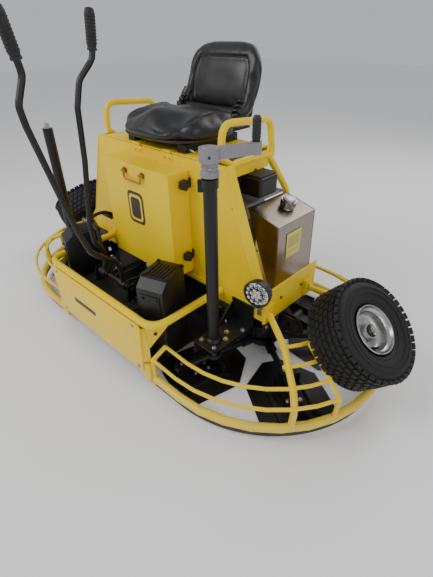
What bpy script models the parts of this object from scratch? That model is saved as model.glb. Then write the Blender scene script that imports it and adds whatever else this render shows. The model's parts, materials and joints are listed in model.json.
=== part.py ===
"""Ride-on power trowel with two contra-rotating five-blade rotors.

Metres. +X is the operator's left, -Y the front the operator faces, +Z up.
The origin is on the floor, midway between the two rotor axes.
"""
import math

import bmesh
import bpy
from mathutils import Matrix, Vector

# ---- driving dimensions -------------------------------------------------
ROTOR_X = 0.475          # half distance between the rotor axes
ROTOR_TILT_Z = 0.235     # height of the gearbox tilt axis
BLADE_TIP_R = 0.452      # radius swept by the blades
BLADE_ROOT_R = 0.222     # full width from here out
BLADE_HEEL_R = 0.116     # narrow inner end
ARM_TIP_R = 0.419        # the arms end just past the outer blade lugs
BLADE_CHORD = 0.290
BLADES = 5
BLADE_T = 0.004
BLADE_PHASE = -33.0      # azimuth of the first blade, degrees
ARM_Z = 0.060            # height of the trowel arms
ARM_R = 0.0130

RING_R = 0.483           # guard ring radius round each rotor
RING_Z = 0.057
RING_TUBE = 0.0160
ROD_TUBE = 0.0072
GUARD_RODS = ((0.493, 0.160), (0.437, 0.193), (0.368, 0.222), (0.302, 0.250))
BAY_ANGLES = {-1: 22.5, 1: 27.0}   # the rods stop here, front and rear, to clear the wheel

BASE_HALF_X = 0.578
BASE_FRONT = -0.148
BASE_REAR = 0.185
BASE_TAIL = 0.400
BASE_Z = 0.275
SHEET = 0.006

RAIL_Z = 0.313
RAIL_FRONT = -0.488
RAIL_HALF_X = 0.367
RAIL_TUBE = 0.0150
PANEL_Y = -0.5045
PANEL_HALF_X = 0.300
PANEL_BOTTOM = 0.083
PANEL_TOP = 0.309
FLOOR_Z = 0.125

COWL_Y = -0.138
COWL_TOP = 0.785
COWL_HALF_TOP = 0.372
COWL_HALF_BOTTOM = 0.566
BOX_HALF_X = 0.200
BOX_FRONT = -0.236
BOX_Z = (0.332, 0.745)
DECK_Z = 0.787
FRAME_X = 0.334
FRAME_TUBE = 0.0140

POST_XY = (0.481, -0.310)
POST_R = 0.0210
POST_Z = (0.2260, 0.8230)
FLANGE_Z = 0.2195
LIFT_FOOT_Z = 0.140      # bottom of the lift rods
CRANK_END = (0.537, -0.180)

LEVER_X = 0.070
LEVER_AXIS = (-0.392, 0.322)
LEVER_TUBE = 0.0105

WHEEL_C = (0.879, 0.014, 0.280)
WHEEL_CAMBER = 47.6
WHEEL_R = 0.185
WHEEL_W = 0.152
RIM_R = 0.086
ARM_PIVOT = (0.618, 0.014, 0.214)

GAP = 0.0006             # running clearance between neighbouring pieces


# ---- scene set-up ---------------------------------------------------------
for old in list(bpy.data.objects):
    bpy.data.objects.remove(old, do_unlink=True)

PARTS = bpy.data.collections.new("power_trowel")
bpy.context.scene.collection.children.link(PARTS)


def make_material(name, colour, roughness, metallic=0.0, coat=0.0):
    """One Principled material."""
    mat = bpy.data.materials.new(name)
    mat.use_nodes = True
    shader = mat.node_tree.nodes["Principled BSDF"]
    shader.inputs["Base Color"].default_value = (*colour, 1.0)
    shader.inputs["Roughness"].default_value = roughness
    shader.inputs["Metallic"].default_value = metallic
    shader.inputs["Coat Weight"].default_value = coat
    return mat


YELLOW = make_material("yellow_paint", (0.78, 0.50, 0.02), 0.35, coat=0.4)
BLACK = make_material("black_powder_coat", (0.015, 0.015, 0.016), 0.5)
VINYL = make_material("black_vinyl", (0.02, 0.02, 0.022), 0.45)
RUBBER = make_material("black_rubber", (0.02, 0.02, 0.02), 0.8)
ZINC = make_material("zinc_steel", (0.6, 0.6, 0.58), 0.35, metallic=1.0)
STAINLESS = make_material("stainless_sheet", (0.45, 0.40, 0.36), 0.3, metallic=1.0)
CASTING = make_material("grey_casting", (0.35, 0.33, 0.36), 0.5, metallic=0.6)
BRONZE = make_material("bronze_plating", (0.45, 0.25, 0.08), 0.35, metallic=1.0)
BLADE_STEEL = make_material("blade_steel", (0.05, 0.05, 0.052), 0.4, metallic=0.7)


# ---- mesh helpers ---------------------------------------------------------
def mesh_of(bm):
    """Close a bmesh into a mesh with outward faces."""
    bmesh.ops.remove_doubles(bm, verts=bm.verts, dist=1e-6)
    bmesh.ops.recalc_face_normals(bm, faces=bm.faces)
    mesh = bpy.data.meshes.new("piece")
    bm.to_mesh(mesh)
    bm.free()
    return mesh


def prism(outline, axis, start, end):
    """Solid with a flat outline, extruded along X, Y or Z."""
    place = {
        "X": lambda a, b, c: (c, a, b),
        "Y": lambda a, b, c: (a, c, b),
        "Z": lambda a, b, c: (a, b, c),
    }[axis]
    bm = bmesh.new()
    face = bm.faces.new([bm.verts.new(place(a, b, start)) for a, b in outline])
    grown = bmesh.ops.extrude_face_region(bm, geom=[face], use_keep_orig=True)
    far = [item for item in grown["geom"] if isinstance(item, bmesh.types.BMVert)]
    bmesh.ops.translate(bm, verts=far, vec=place(0, 0, end - start))
    return mesh_of(bm)


def block(x0, x1, y0, y1, z0, z1):
    """Rectangular solid."""
    bm = bmesh.new()
    bmesh.ops.create_cube(bm, size=1.0)
    bmesh.ops.scale(bm, verts=bm.verts, vec=(x1 - x0, y1 - y0, z1 - z0))
    bmesh.ops.translate(bm, verts=bm.verts, vec=((x0 + x1) / 2, (y0 + y1) / 2, (z0 + z1) / 2))
    return mesh_of(bm)


def fillet_path(corners, radius, steps=5):
    """Polyline through corners with each inner corner rounded."""
    points = [Vector(corners[0])]
    for before, here, after in zip(corners, corners[1:], corners[2:]):
        here = Vector(here)
        back = Vector(before) - here
        ahead = Vector(after) - here
        turn = math.pi - back.angle(ahead)
        if turn < 0.05:
            points.append(here)
            continue
        reach = radius * math.tan(turn / 2)
        reach = min(reach, 0.49 * back.length, 0.49 * ahead.length)
        first = here + back.normalized() * reach
        last = here + ahead.normalized() * reach
        for k in range(steps + 1):
            t = k / steps
            points.append(first.lerp(here, t).lerp(here.lerp(last, t), t))
    points.append(Vector(corners[-1]))
    return points


def arc(cx, cy, radius, z, start, end, steps):
    """Horizontal arc, angles in degrees."""
    points = []
    for k in range(steps + 1):
        a = math.radians(start + (end - start) * k / steps)
        points.append(Vector((cx + radius * math.cos(a), cy + radius * math.sin(a), z)))
    return points


def tube(path, radius, sides=10):
    """Round bar along a polyline, from a bevelled curve with filled caps."""
    curve = bpy.data.curves.new("bar", "CURVE")
    curve.dimensions = "3D"
    curve.bevel_depth = radius
    curve.bevel_resolution = (sides - 4) // 2
    curve.use_fill_caps = True
    spline = curve.splines.new("POLY")
    spline.points.add(len(path) - 1)
    for point, place in zip(spline.points, path):
        point.co = (*place, 1.0)
    holder = bpy.data.objects.new("bar", curve)
    bpy.context.scene.collection.objects.link(holder)
    graph = bpy.context.evaluated_depsgraph_get()
    bm = bmesh.new()
    bm.from_mesh(bpy.data.meshes.new_from_object(holder.evaluated_get(graph)))
    bpy.data.objects.remove(holder, do_unlink=True)
    return mesh_of(bm)


def turned(profile, steps=24):
    """Turned solid: a (radius, height) outline spun about +Z; one off the axis is closed first."""
    bm = bmesh.new()
    verts = [bm.verts.new((radius, 0, height)) for radius, height in profile]
    edges = [bm.edges.new(pair) for pair in zip(verts, verts[1:])]
    if profile[0][0] > 0:
        edges.append(bm.edges.new((verts[-1], verts[0])))
    bmesh.ops.spin(bm, geom=verts + edges, axis=(0, 0, 1), cent=(0, 0, 0), angle=2 * math.pi,
                   steps=steps, use_merge=True)
    return mesh_of(bm)


def moved(mesh, location=(0, 0, 0), direction=None, spin=0.0):
    """Turn a mesh about +Z, aim its +Z along a direction, then shift it."""
    matrix = Matrix.Translation(location)
    if direction is not None:
        matrix = matrix @ Vector((0, 0, 1)).rotation_difference(Vector(direction)).to_matrix().to_4x4()
    matrix = matrix @ Matrix.Rotation(math.radians(spin), 4, "Z")
    mesh.transform(matrix)
    return mesh


def rod(start, end, radius, sides=16):
    """Straight round bar."""
    start = Vector(start)
    end = Vector(end)
    length = (end - start).length
    profile = [(0, 0), (radius, 0), (radius, length), (0, length)]
    return moved(turned(profile, sides), start, end - start)


def mirrored(mesh):
    """Copy of a mesh reflected to the other side of the machine."""
    other = mesh.copy()
    other.transform(Matrix.Diagonal((-1, 1, 1, 1)))
    other.flip_normals()
    return other


def combine(base, tools, operation):
    """Boolean a list of meshes onto a base mesh and return the result."""
    holder = bpy.data.objects.new("holder", base)
    bpy.context.scene.collection.objects.link(holder)
    for tool in tools:
        other = bpy.data.objects.new("tool", tool)
        bpy.context.scene.collection.objects.link(other)
        step = holder.modifiers.new("step", "BOOLEAN")
        step.operation = operation
        step.solver = "EXACT"
        step.object = other
        graph = bpy.context.evaluated_depsgraph_get()
        result = bpy.data.meshes.new_from_object(holder.evaluated_get(graph))
        holder.modifiers.remove(step)
        holder.data = result
        bpy.data.objects.remove(other, do_unlink=True)
    result = holder.data
    bpy.data.objects.remove(holder, do_unlink=True)
    return result


def welded(*meshes):
    """One solid from overlapping solids."""
    return combine(meshes[0], meshes[1:], "UNION")


def less(mesh, *tools):
    """A solid with others cut out of it."""
    return combine(mesh, tools, "DIFFERENCE")


def add_part(name, mesh, material, origin=(0, 0, 0), smooth=True):
    """Put a finished mesh in the collection, its origin on its joint."""
    bm = bmesh.new()
    bm.from_mesh(mesh)
    bmesh.ops.remove_doubles(bm, verts=bm.verts, dist=1e-6)
    bmesh.ops.dissolve_degenerate(bm, edges=bm.edges, dist=1e-7)
    bm.to_mesh(mesh)
    bm.free()
    mesh.transform(Matrix.Translation(-Vector(origin)))
    mesh.name = name
    mesh.materials.clear()
    mesh.materials.append(material)
    if smooth:
        mesh.polygons.foreach_set("use_smooth", [True] * len(mesh.polygons))
        mesh.set_sharp_from_angle(angle=math.radians(38))
    part = bpy.data.objects.new(name, mesh)
    part.location = origin
    PARTS.objects.link(part)
    return part


def bevelled(part, width, segments=2):
    """Round a part's sharp edges."""
    edge = part.modifiers.new("edges", "BEVEL")
    edge.width = width
    edge.segments = segments
    edge.limit_method = "ANGLE"
    edge.angle_limit = math.radians(40)
    return part


SIDES = (("left", 1), ("right", -1))


def on_side(mesh, side):
    """The mesh itself on the left, its mirror image on the right."""
    return mesh if side > 0 else mirrored(mesh)


# ---- guard ----------------------------------------------------------------
def polar(radius, angle, z, side=1):
    """Point of the guard at an azimuth round a rotor axis."""
    a = math.radians(angle)
    return Vector((side * (ROTOR_X + radius * math.cos(a)), radius * math.sin(a), z))


def guard_ring():
    """Lower tube: open in front of the footwell, straight along the rear."""
    left = arc(ROTOR_X, 0, RING_R, RING_Z, -90, 90, 16)
    right = arc(-ROTOR_X, 0, RING_R, RING_Z, 90, 270, 16)
    start = [Vector((0.318, -RING_R, RING_Z))]
    end = [Vector((-0.318, -RING_R, RING_Z))]
    return tube(start + left + right + end, RING_TUBE, 10)


def guard_half():
    """Rods and uprights of the left half of the guard."""
    pieces = []
    for index, (radius, z) in enumerate(GUARD_RODS):
        for way in (-1, 1):
            if index < 2:
                run_in = [Vector((0.352 - 0.013 * (1 - index), way * (radius - 0.004), z))]
                path = run_in + arc(ROTOR_X, 0, radius, z, way * 90, way * BAY_ANGLES[way], 7)
            else:
                path = arc(ROTOR_X, 0, radius, z, way * 43, way * BAY_ANGLES[way], 3)
            pieces.append(tube(path, ROD_TUBE, 6))
    for way in (-1, 1):
        upright = [
            (0.590, way * 0.128, 0.292),
            polar(0.302, way * 40.0, 0.251),
            polar(0.438, way * 40.0, 0.191),
            polar(0.489, way * 40.5, 0.156),
            polar(RING_R, way * 41.0, RING_Z + 0.004),
        ]
        pieces.append(tube(fillet_path(upright, 0.05, 2), 0.0125, 8))
        pieces.append(block(BASE_HALF_X + GAP, BASE_HALF_X + 0.012,
                            way * 0.128 - 0.026, way * 0.128 + 0.026, 0.262, 0.330))
        bay = [polar(radius, way * BAY_ANGLES[way], z) for radius, z in reversed(GUARD_RODS)]
        bay.append(polar(RING_R + 0.002, way * BAY_ANGLES[way], RING_Z + 0.006))
        pieces.append(tube(bay, 0.0085, 6))
        post = [(0.355, way * 0.433, 0.196), (0.344, way * 0.489, 0.158), (0.340, way * 0.484, RING_Z)]
        pieces.append(tube(post, 0.0095, 6))
    pieces.append(block(0.286, 0.334, -0.5038, -0.474, 0.042, 0.126))
    return pieces


def build_guard():
    """Welded tube guard round both rotors."""
    half = guard_half()
    other = [mirrored(piece) for piece in half]
    add_part("guard_frame", welded(guard_ring(), *half, *other), YELLOW)


# ---- base, footwell and cowl ----------------------------------------------
def build_base():
    """Folded base tray carrying the cowl, engine and tank."""
    pieces = [block(-BASE_HALF_X + 0.002, BASE_HALF_X - 0.002, BASE_FRONT + 0.002, BASE_REAR, BASE_Z, BASE_Z + SHEET)]
    pieces.append(block(-0.385, 0.385, BASE_REAR - 0.01, BASE_TAIL, BASE_Z + 0.0004, BASE_Z + SHEET - 0.0004))
    pieces.append(block(-0.385, 0.385, BASE_TAIL - 0.005, BASE_TAIL + 0.001, BASE_Z - 0.03, BASE_Z + 0.045))
    pieces.append(block(-BASE_HALF_X + 0.001, BASE_HALF_X - 0.001, BASE_FRONT, BASE_FRONT + 0.005, 0.262, 0.318))
    side = [(BASE_FRONT + 0.001, 0.250), (BASE_REAR + 0.001, 0.250), (BASE_REAR + 0.001, 0.384),
            (-0.105, 0.384), (BASE_FRONT + 0.001, 0.335)]
    for way in (-1, 1):
        pieces.append(prism(side, "X", way * (BASE_HALF_X - 0.005), way * BASE_HALF_X))
    add_part("base_frame", welded(*pieces), YELLOW)


def build_footwell():
    """Front panel, top rail, floor and the black beam between the foot boxes."""
    half = PANEL_HALF_X
    outline = [(-half, PANEL_BOTTOM + 0.004), (-half + 0.012, PANEL_BOTTOM), (half - 0.012, PANEL_BOTTOM),
               (half, PANEL_BOTTOM + 0.004), (half + 0.016, PANEL_TOP - 0.012), (half + 0.008, PANEL_TOP),
               (-half - 0.008, PANEL_TOP), (-half - 0.016, PANEL_TOP - 0.012)]
    panel = prism(outline, "Y", PANEL_Y - 0.005, PANEL_Y)
    flange = [(half - 0.002, PANEL_Y - 0.005), (half + 0.024, PANEL_Y + 0.021),
              (half + 0.020, PANEL_Y + 0.025), (half - 0.006, PANEL_Y - 0.001)]
    low = prism(flange, "Z", 0.132, 0.290)
    add_part("front_panel", welded(panel, low, mirrored(low)), YELLOW)

    corners = [(RAIL_HALF_X, BASE_FRONT - 0.0015, RAIL_Z), (RAIL_HALF_X, RAIL_FRONT, RAIL_Z),
               (-RAIL_HALF_X, RAIL_FRONT, RAIL_Z), (-RAIL_HALF_X, BASE_FRONT - 0.0015, RAIL_Z)]
    add_part("footwell_rail", tube(fillet_path(corners, 0.070, 7), RAIL_TUBE, 12), YELLOW)

    tray = block(-0.345, 0.345, -0.468, BASE_FRONT - 0.004, FLOOR_Z, FLOOR_Z + 0.004)
    lip = block(-0.285, 0.285, -0.472, -0.4675, FLOOR_Z, 0.215)
    hanger = block(-0.345, 0.345, BASE_FRONT - 0.008, BASE_FRONT - 0.004, FLOOR_Z, 0.300)
    notch = block(-0.130, 0.130, BASE_FRONT - 0.02, BASE_FRONT, FLOOR_Z + 0.03, 0.26)
    add_part("footwell_tray", less(welded(tray, lip, hanger), notch), BLACK)

    top = [(-0.462, 0.262), (-0.352, 0.274), (-0.352, 0.280), (-0.462, 0.268)]
    beam = prism(top, "X", -0.178, 0.178)
    leg = block(-0.178, 0.178, -0.440, -0.434, FLOOR_Z + 0.004 + GAP, 0.268)
    y, z = LEVER_AXIS
    ears = []
    for x in (-0.118, 0.112):
        ear = prism([(y - 0.026, 0.266), (y + 0.026, 0.270), (y + 0.016, z + 0.018), (y - 0.016, z + 0.018)],
                    "X", x, x + 0.006)
        ears.append(ear)
    axle = rod((-0.128, y, z), (0.128, y, z), 0.0088)
    add_part("pedestal_beam", welded(beam, leg, *ears, axle), BLACK, (0, y, z))


def build_foot_boxes():
    """Splayed black foot pedestals."""
    side = [(-0.152, 0.0), (0.0, 0.0), (0.0, 0.444), (-0.118, 0.444), (-0.152, 0.416)]
    floor = FLOOR_Z + 0.004 + GAP
    side = [(y, max(z, floor)) for y, z in side]
    for name, way in SIDES:
        shell = prism(side, "X", 0.0, 0.108)
        inner = prism([(-0.149, floor - 0.01), (-0.003, floor - 0.01), (-0.003, 0.38), (-0.149, 0.38)],
                      "X", 0.003, 0.105)
        shell = less(shell, inner)
        moved(shell, (0.198, -0.310, 0.0), spin=18.5)
        bevelled(add_part("foot_box_" + name, on_side(shell, way), BLACK), 0.0012)


def build_cowl():
    """Trapezoid front cowl with folded edges and an opening behind the cover."""
    y = COWL_Y
    z0 = BASE_Z + SHEET + GAP
    panel = prism([(-COWL_HALF_BOTTOM, z0), (COWL_HALF_BOTTOM, z0), (COWL_HALF_TOP, COWL_TOP),
                   (-COWL_HALF_TOP, COWL_TOP)], "Y", y, y + 0.004)
    fold = prism([(COWL_HALF_BOTTOM, z0), (COWL_HALF_TOP, COWL_TOP), (COWL_HALF_TOP - 0.004, COWL_TOP),
                  (COWL_HALF_BOTTOM - 0.004, z0)], "Y", y + 0.0005, y + 0.050)
    top = block(-COWL_HALF_TOP + 0.001, COWL_HALF_TOP - 0.001, y + 0.0005, y + 0.020, COWL_TOP - 0.004, COWL_TOP - 0.0002)
    window = block(-0.165, 0.165, y - 0.1, y + 0.1, 0.37, 0.70)
    add_part("front_cowl", less(welded(panel, fold, mirrored(fold), top), window), YELLOW)

    z0, z1 = BOX_Z
    cover = block(-BOX_HALF_X, BOX_HALF_X, BOX_FRONT, y - GAP, z0, z1)
    hollow = block(-BOX_HALF_X + 0.003, BOX_HALF_X - 0.003, BOX_FRONT + 0.003, y + 0.02, z0 + 0.003, z1 - 0.003)
    cover = less(cover, hollow)
    bevelled(add_part("access_cover", cover, YELLOW, (0, y, z0)), 0.0012)
    star = []
    for k in range(20):
        radius = 0.0205 if k % 4 < 2 else 0.0165
        a = 2 * math.pi * k / 20
        star.append((radius * math.cos(a), radius * math.sin(a)))
    for tag, z in (("upper", 0.702), ("lower", 0.414)):
        knob = prism(star, "Z", 0.006, 0.024)
        knob = welded(knob, rod((0, 0, 0), (0, 0, 0.008), 0.010))
        moved(knob, (BOX_HALF_X + GAP, -0.175, z), (1, 0, 0))
        add_part("cover_knob_" + tag, knob, BLACK, (BOX_HALF_X, -0.175, z))
    z = 0.717
    bail = [(-0.054, BOX_FRONT - 0.008, z), (-0.050, BOX_FRONT - 0.011, z - 0.030),
            (0.050, BOX_FRONT - 0.011, z - 0.030), (0.054, BOX_FRONT - 0.008, z)]
    handle = tube(fillet_path(bail, 0.012, 3), 0.0040, 8)
    for x in (-0.054, 0.054):
        handle = welded(handle, rod((x - 0.009, BOX_FRONT - 0.008, z), (x + 0.009, BOX_FRONT - 0.008, z), 0.0062, 12))
    add_part("cover_bail", handle, BRONZE, (0, BOX_FRONT - 0.008, z))


# ---- seat -------------------------------------------------------------------
def soft_solid(half_x, half_y, half_z, plan=6.0, cuts=4):
    """Rounded cushion block centred on the origin; a low plan power rounds its outline."""
    bm = bmesh.new()
    bmesh.ops.create_cube(bm, size=2.0)
    bmesh.ops.subdivide_edges(bm, edges=bm.edges, cuts=cuts, use_grid_fill=True)
    for vert in bm.verts:
        x, y, z = vert.co
        round_off = (abs(x) ** 6 + abs(y) ** 6 + abs(z) ** 6) ** (1 / 6)
        x, y, z = x / round_off, y / round_off, z / round_off
        square = max(abs(x), abs(y))
        if square > 0:
            outline = square / (abs(x) ** plan + abs(y) ** plan) ** (1 / plan)
            x, y = x * outline, y * outline
        vert.co = (x * half_x, y * half_y, z * half_z)
    return mesh_of(bm)


def build_seat():
    """Tipping deck, slide rails and two-piece bucket seat."""
    deck = block(-0.315, 0.315, COWL_Y + 0.002, 0.170, DECK_Z, DECK_Z + 0.005)
    lip = block(-0.315, 0.315, 0.165, 0.170, DECK_Z - 0.035, DECK_Z + 0.005)
    knuckles = []
    for x in (-0.090, 0.090):
        knuckles.append(rod((x - 0.020, COWL_Y - 0.003, DECK_Z + 0.006), (x + 0.020, COWL_Y - 0.003, DECK_Z + 0.006), 0.006, 12))
        knuckles.append(block(x - 0.018, x + 0.018, COWL_Y - 0.003, COWL_Y + 0.03, DECK_Z + 0.003, DECK_Z + 0.009))
    hinge = (0, COWL_Y - 0.003, DECK_Z + 0.006)
    add_part("seat_deck", welded(deck, lip, *knuckles), YELLOW, hinge)

    low = DECK_Z + 0.005 + GAP
    rails = [block(-0.170, 0.170, -0.045, -0.010, low + 0.004, low + 0.022),
             block(-0.170, 0.170, 0.090, 0.125, low + 0.0041, low + 0.0219)]
    for x in (-0.150, 0.150):
        rails.append(block(x - 0.020, x + 0.020, -0.122, 0.160, low, low + 0.028))
    add_part("seat_rails", welded(*rails), BLACK, hinge)

    pan = soft_solid(0.233, 0.190, 0.046, plan=2.9)
    for vert in pan.vertices:
        x, y, z = vert.co
        if z > 0:
            vert.co.z = z - 0.020 * math.exp(-((x / 0.15) ** 4)) * math.exp(-(((y - 0.03) / 0.15) ** 4))
        else:
            vert.co.x = x * 0.90
            vert.co.y = y * 0.92 + 0.008
    moved(pan, (0, -0.006, low + 0.028 + GAP + 0.0465))
    add_part("seat_cushion", pan, VINYL, hinge)

    back = soft_solid(0.222, 0.036, 0.133)
    for vert in back.vertices:
        t = (vert.co.z + 0.133) / 0.266
        wide = 0.90 + 0.28 * t - 0.42 * t * t
        vert.co.y += 0.075 * t - 0.020 * (vert.co.x / 0.222) ** 2
        vert.co.x *= wide
    moved(back, (0, 0.243, 0.994))
    add_part("seat_back", back, VINYL, hinge)


def build_side_frames():
    """Tube frame at each end of the seat deck, with a hand rail on top."""
    x = FRAME_X
    low = BASE_Z + SHEET + GAP
    for name, way in SIDES:
        loop = [(x, -0.072, low), (x, -0.072, 0.770), (x, 0.146, 0.770), (x, 0.285, 0.600), (x, 0.368, low + 0.040),
                (x, 0.370, low + 0.001)]
        frame = tube(fillet_path(loop, 0.045, 3), FRAME_TUBE, 8)
        rail = [(x, -0.060, 0.772), (x + 0.001, -0.112, 0.800), (x + 0.001, -0.102, 0.912),
                (x + 0.001, 0.150, 0.890), (x + 0.001, 0.172, 0.765), (x, 0.150, 0.755)]
        hand = tube(fillet_path(rail, 0.045, 4), 0.0125, 8)
        web = block(x - 0.0025, x + 0.0025, -0.068, 0.150, 0.722, 0.772)
        foot = block(x - 0.030, x + 0.030, -0.088, -0.052, low, low + 0.008)
        heel = block(x - 0.030, x + 0.030, 0.345, 0.392, low, low + 0.008)
        add_part("side_frame_" + name, on_side(welded(frame, hand, web, foot, heel), way), YELLOW)


# ---- engine, tank and lamp ------------------------------------------------
def build_engine():
    """Engine block, air cleaner and the fuel tank with its bracket and cap."""
    low = BASE_Z + SHEET + GAP
    crank = block(-0.150, 0.200, -0.030, 0.270, low, 0.520)
    head_a = block(-0.235, -0.060, 0.010, 0.230, 0.430, 0.640)
    head_b = block(0.075, 0.240, 0.010, 0.230, 0.430, 0.6401)
    fan = moved(turned([(0, 0), (0.150, 0), (0.150, 0.060), (0.110, 0.085), (0, 0.085)], 24), (0.02, 0.225, 0.560), (0, 1, 0))
    hood = block(-0.110, 0.150, -0.010, 0.260, 0.500, 0.700)
    engine = welded(crank, head_a, head_b, hood, fan)
    add_part("engine_block", engine, BLACK)

    cleaner = block(0.246, 0.405, 0.020, 0.128, 0.640, 0.716)
    bevelled(add_part("air_cleaner", cleaner, BLACK), 0.012, 3)

    profile = [(0.344, 0.592), (0.492, 0.552), (0.498, low), (0.462, low)]
    tank = prism(profile, "Y", 0.026, 0.272)
    slope = Vector((0.040, 0, 0.148)).normalized()
    spot = Vector((0.420, 0.178, 0.5715))
    neck = rod(spot - slope * 0.01, spot + slope * 0.010, 0.024, 24)
    bevelled(add_part("fuel_tank", welded(tank, neck), STAINLESS), 0.004)
    grip = []
    for k in range(24):
        radius = 0.0325 if k % 2 else 0.0310
        a = 2 * math.pi * k / 24
        grip.append((radius * math.cos(a), radius * math.sin(a)))
    cap = prism(grip, "Z", 0.0, 0.022)
    cap = welded(cap, rod((0, 0, 0.010), (0, 0, 0.029), 0.024, 24))
    base = spot + slope * (0.010 + GAP)
    moved(cap, base, slope)
    add_part("fuel_cap", cap, ZINC, base)

    shelf = block(0.250, 0.352, 0.012, 0.252, 0.6010, 0.6050)
    drop = block(0.250, 0.254, 0.012, 0.252, 0.480, 0.6045)
    add_part("tank_bracket", welded(shelf, drop), CASTING)


def build_lamp():
    """Round work lamp on a bolt bracket at the front left corner."""
    aim = Vector((0.19, -0.98, 0.0)).normalized()
    centre = Vector((0.574, -0.186, 0.408))
    bowl = [(0, -0.040), (0.030, -0.038), (0.046, -0.022), (0.050, -0.004), (0.050, 0.008),
            (0.0445, 0.008), (0.0445, 0.0035), (0.030, 0.008), (0, 0.010)]
    add_part("lamp_head", moved(turned(bowl, 28), centre, aim), BLACK, centre)
    stem = block(0.552, 0.568, BASE_FRONT - 0.0046, BASE_FRONT - GAP, 0.288, 0.345)
    foot = tube([(0.560, BASE_FRONT - 0.0026, 0.334), (0.566, -0.165, 0.346), (0.572, -0.178, 0.3545)], 0.0045, 8)
    add_part("lamp_bracket", welded(stem, foot), ZINC)


# ---- pitch posts and levers -----------------------------------------------
def build_posts():
    """Pitch control posts: flange bracket, hollow post, lift rod and crank."""
    x, y = POST_XY
    z0, z1 = POST_Z
    for name, way in SIDES:
        origin = (way * x, y, z0)
        pipe = turned([(POST_R, 0), (POST_R, z1 - z0), (0.0175, z1 - z0), (0.0175, 0)], 20)
        add_part("pitch_post_" + name, moved(pipe, origin), BLACK, origin)
        plate = block(0.430, 0.534, -0.364, -0.152, FLANGE_Z, FLANGE_Z + 0.006)
        back = block(0.430, 0.534, BASE_FRONT - 0.0065, BASE_FRONT - GAP, FLANGE_Z, 0.311)
        hook = prism([(-0.240, FLANGE_Z + 0.003), (-0.153, FLANGE_Z + 0.003), (-0.153, 0.300)], "X", 0.432, 0.437)
        down = block(0.430, 0.436, -0.362, -0.160, 0.168, FLANGE_Z + 0.001)
        eye = rod((x, y, 0.1), (x, y, 0.3), 0.0125)
        bracket = less(welded(plate, back, hook, down), eye)
        add_part("post_bracket_" + name, on_side(bracket, way), BLACK)
        foot = z1 + GAP + 0.0004 - LIFT_FOOT_Z
        lift = [(0, 0.0), (0.0085, 0.0), (0.0085, 0.470), (0, 0.470)]
        if name == "right":
            lift = [(0, 0.0), (0.0085, 0.0), (0.0085, foot), (0.0160, foot), (0.0160, foot + 0.003),
                    (0.0085, foot + 0.004), (0.0085, foot + 0.020), (0.0010, foot + 0.036), (0, foot + 0.036)]
        origin = (way * x, y, LIFT_FOOT_Z)
        add_part("pitch_rod_" + name, moved(turned(lift, 12), origin), ZINC, origin)
    top = z1 + GAP
    head = turned([(0, 0), (0.0275, 0), (0.0275, 0.014), (0.0225, 0.018), (0.0225, 0.036), (0.030, 0.040),
                   (0.030, 0.078), (0, 0.078)], 20)
    moved(head, (x, y, top))
    ex, ey = CRANK_END
    run = Vector((ex - x, ey - y, 0))
    bar = block(0.0, run.length, -0.015, 0.015, 0.0, 0.030)
    bar.transform(Matrix.Translation((x, y, top + 0.046)) @ Matrix.Rotation(math.atan2(run.y, run.x), 4, "Z"))
    boss = rod((ex, ey, top + 0.044), (ex, ey, top + 0.079), 0.0165, 20)
    stud = rod((ex, ey, top + 0.070), (ex, ey, top + 0.100), 0.005, 12)
    add_part("crank_head", welded(head, bar, boss, stud), CASTING, (x, y, top))
    foot = top + 0.079 + GAP
    grip = turned([(0.0056, 0), (0.0110, 0), (0.0122, 0.008), (0.0122, 0.060), (0.0085, 0.067), (0, 0.067),
                   (0, 0.030), (0.0056, 0.030)], 16)
    add_part("crank_grip", moved(grip, (ex, ey, foot)), BLACK, (ex, ey, foot))


def lever_pieces(name, way, corners, grip_length):
    """Bent control lever on the shared axle, with a ribbed hand grip."""
    y, z = LEVER_AXIS
    x = way * LEVER_X
    path = [(x, a, b) for a, b in corners]
    stem = tube(fillet_path(path, 0.045, 2), LEVER_TUBE, 8)
    boss = rod((x - 0.018, y, z), (x + 0.018, y, z), 0.0190, 20)
    bore = rod((x - 0.03, y, z), (x + 0.03, y, z), 0.0094, 16)
    origin = (x, y, z)
    add_part("lever_" + name, less(welded(stem, boss), bore), BLACK, origin)
    top = Vector(path[-1])
    along = (top - Vector(path[-2])).normalized()
    length = grip_length
    start = top - along * 0.042
    bore_r = LEVER_TUBE + 0.0005
    profile = [(bore_r, 0), (0.0135, 0), (0.0160, 0.010), (0.0165, length - 0.016), (0.0135, length - 0.003),
               (0.006, length), (0, length), (0, 0.044), (bore_r, 0.044)]
    add_part("grip_" + name, moved(turned(profile, 16), start, along), RUBBER, origin)


def build_levers():
    """Left lever pushed forward, right lever close to upright."""
    left = [(-0.394, 0.338), (-0.400, 0.392), (-0.412, 0.440), (-0.452, 0.462), (-0.506, 0.512), (-0.538, 0.612),
            (-0.612, 0.948), (-0.618, 1.000), (-0.586, 1.072), (-0.5985, 1.155)]
    lever_pieces("left", 1, left, 0.112)
    right = [(-0.392, 0.338), (-0.376, 0.388), (-0.382, 0.420), (-0.412, 0.470), (-0.416, 0.545), (-0.385, 0.780),
             (-0.374, 0.952), (-0.350, 1.030), (-0.287, 1.090), (-0.279, 1.160)]
    lever_pieces("right", -1, right, 0.108)


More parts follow.
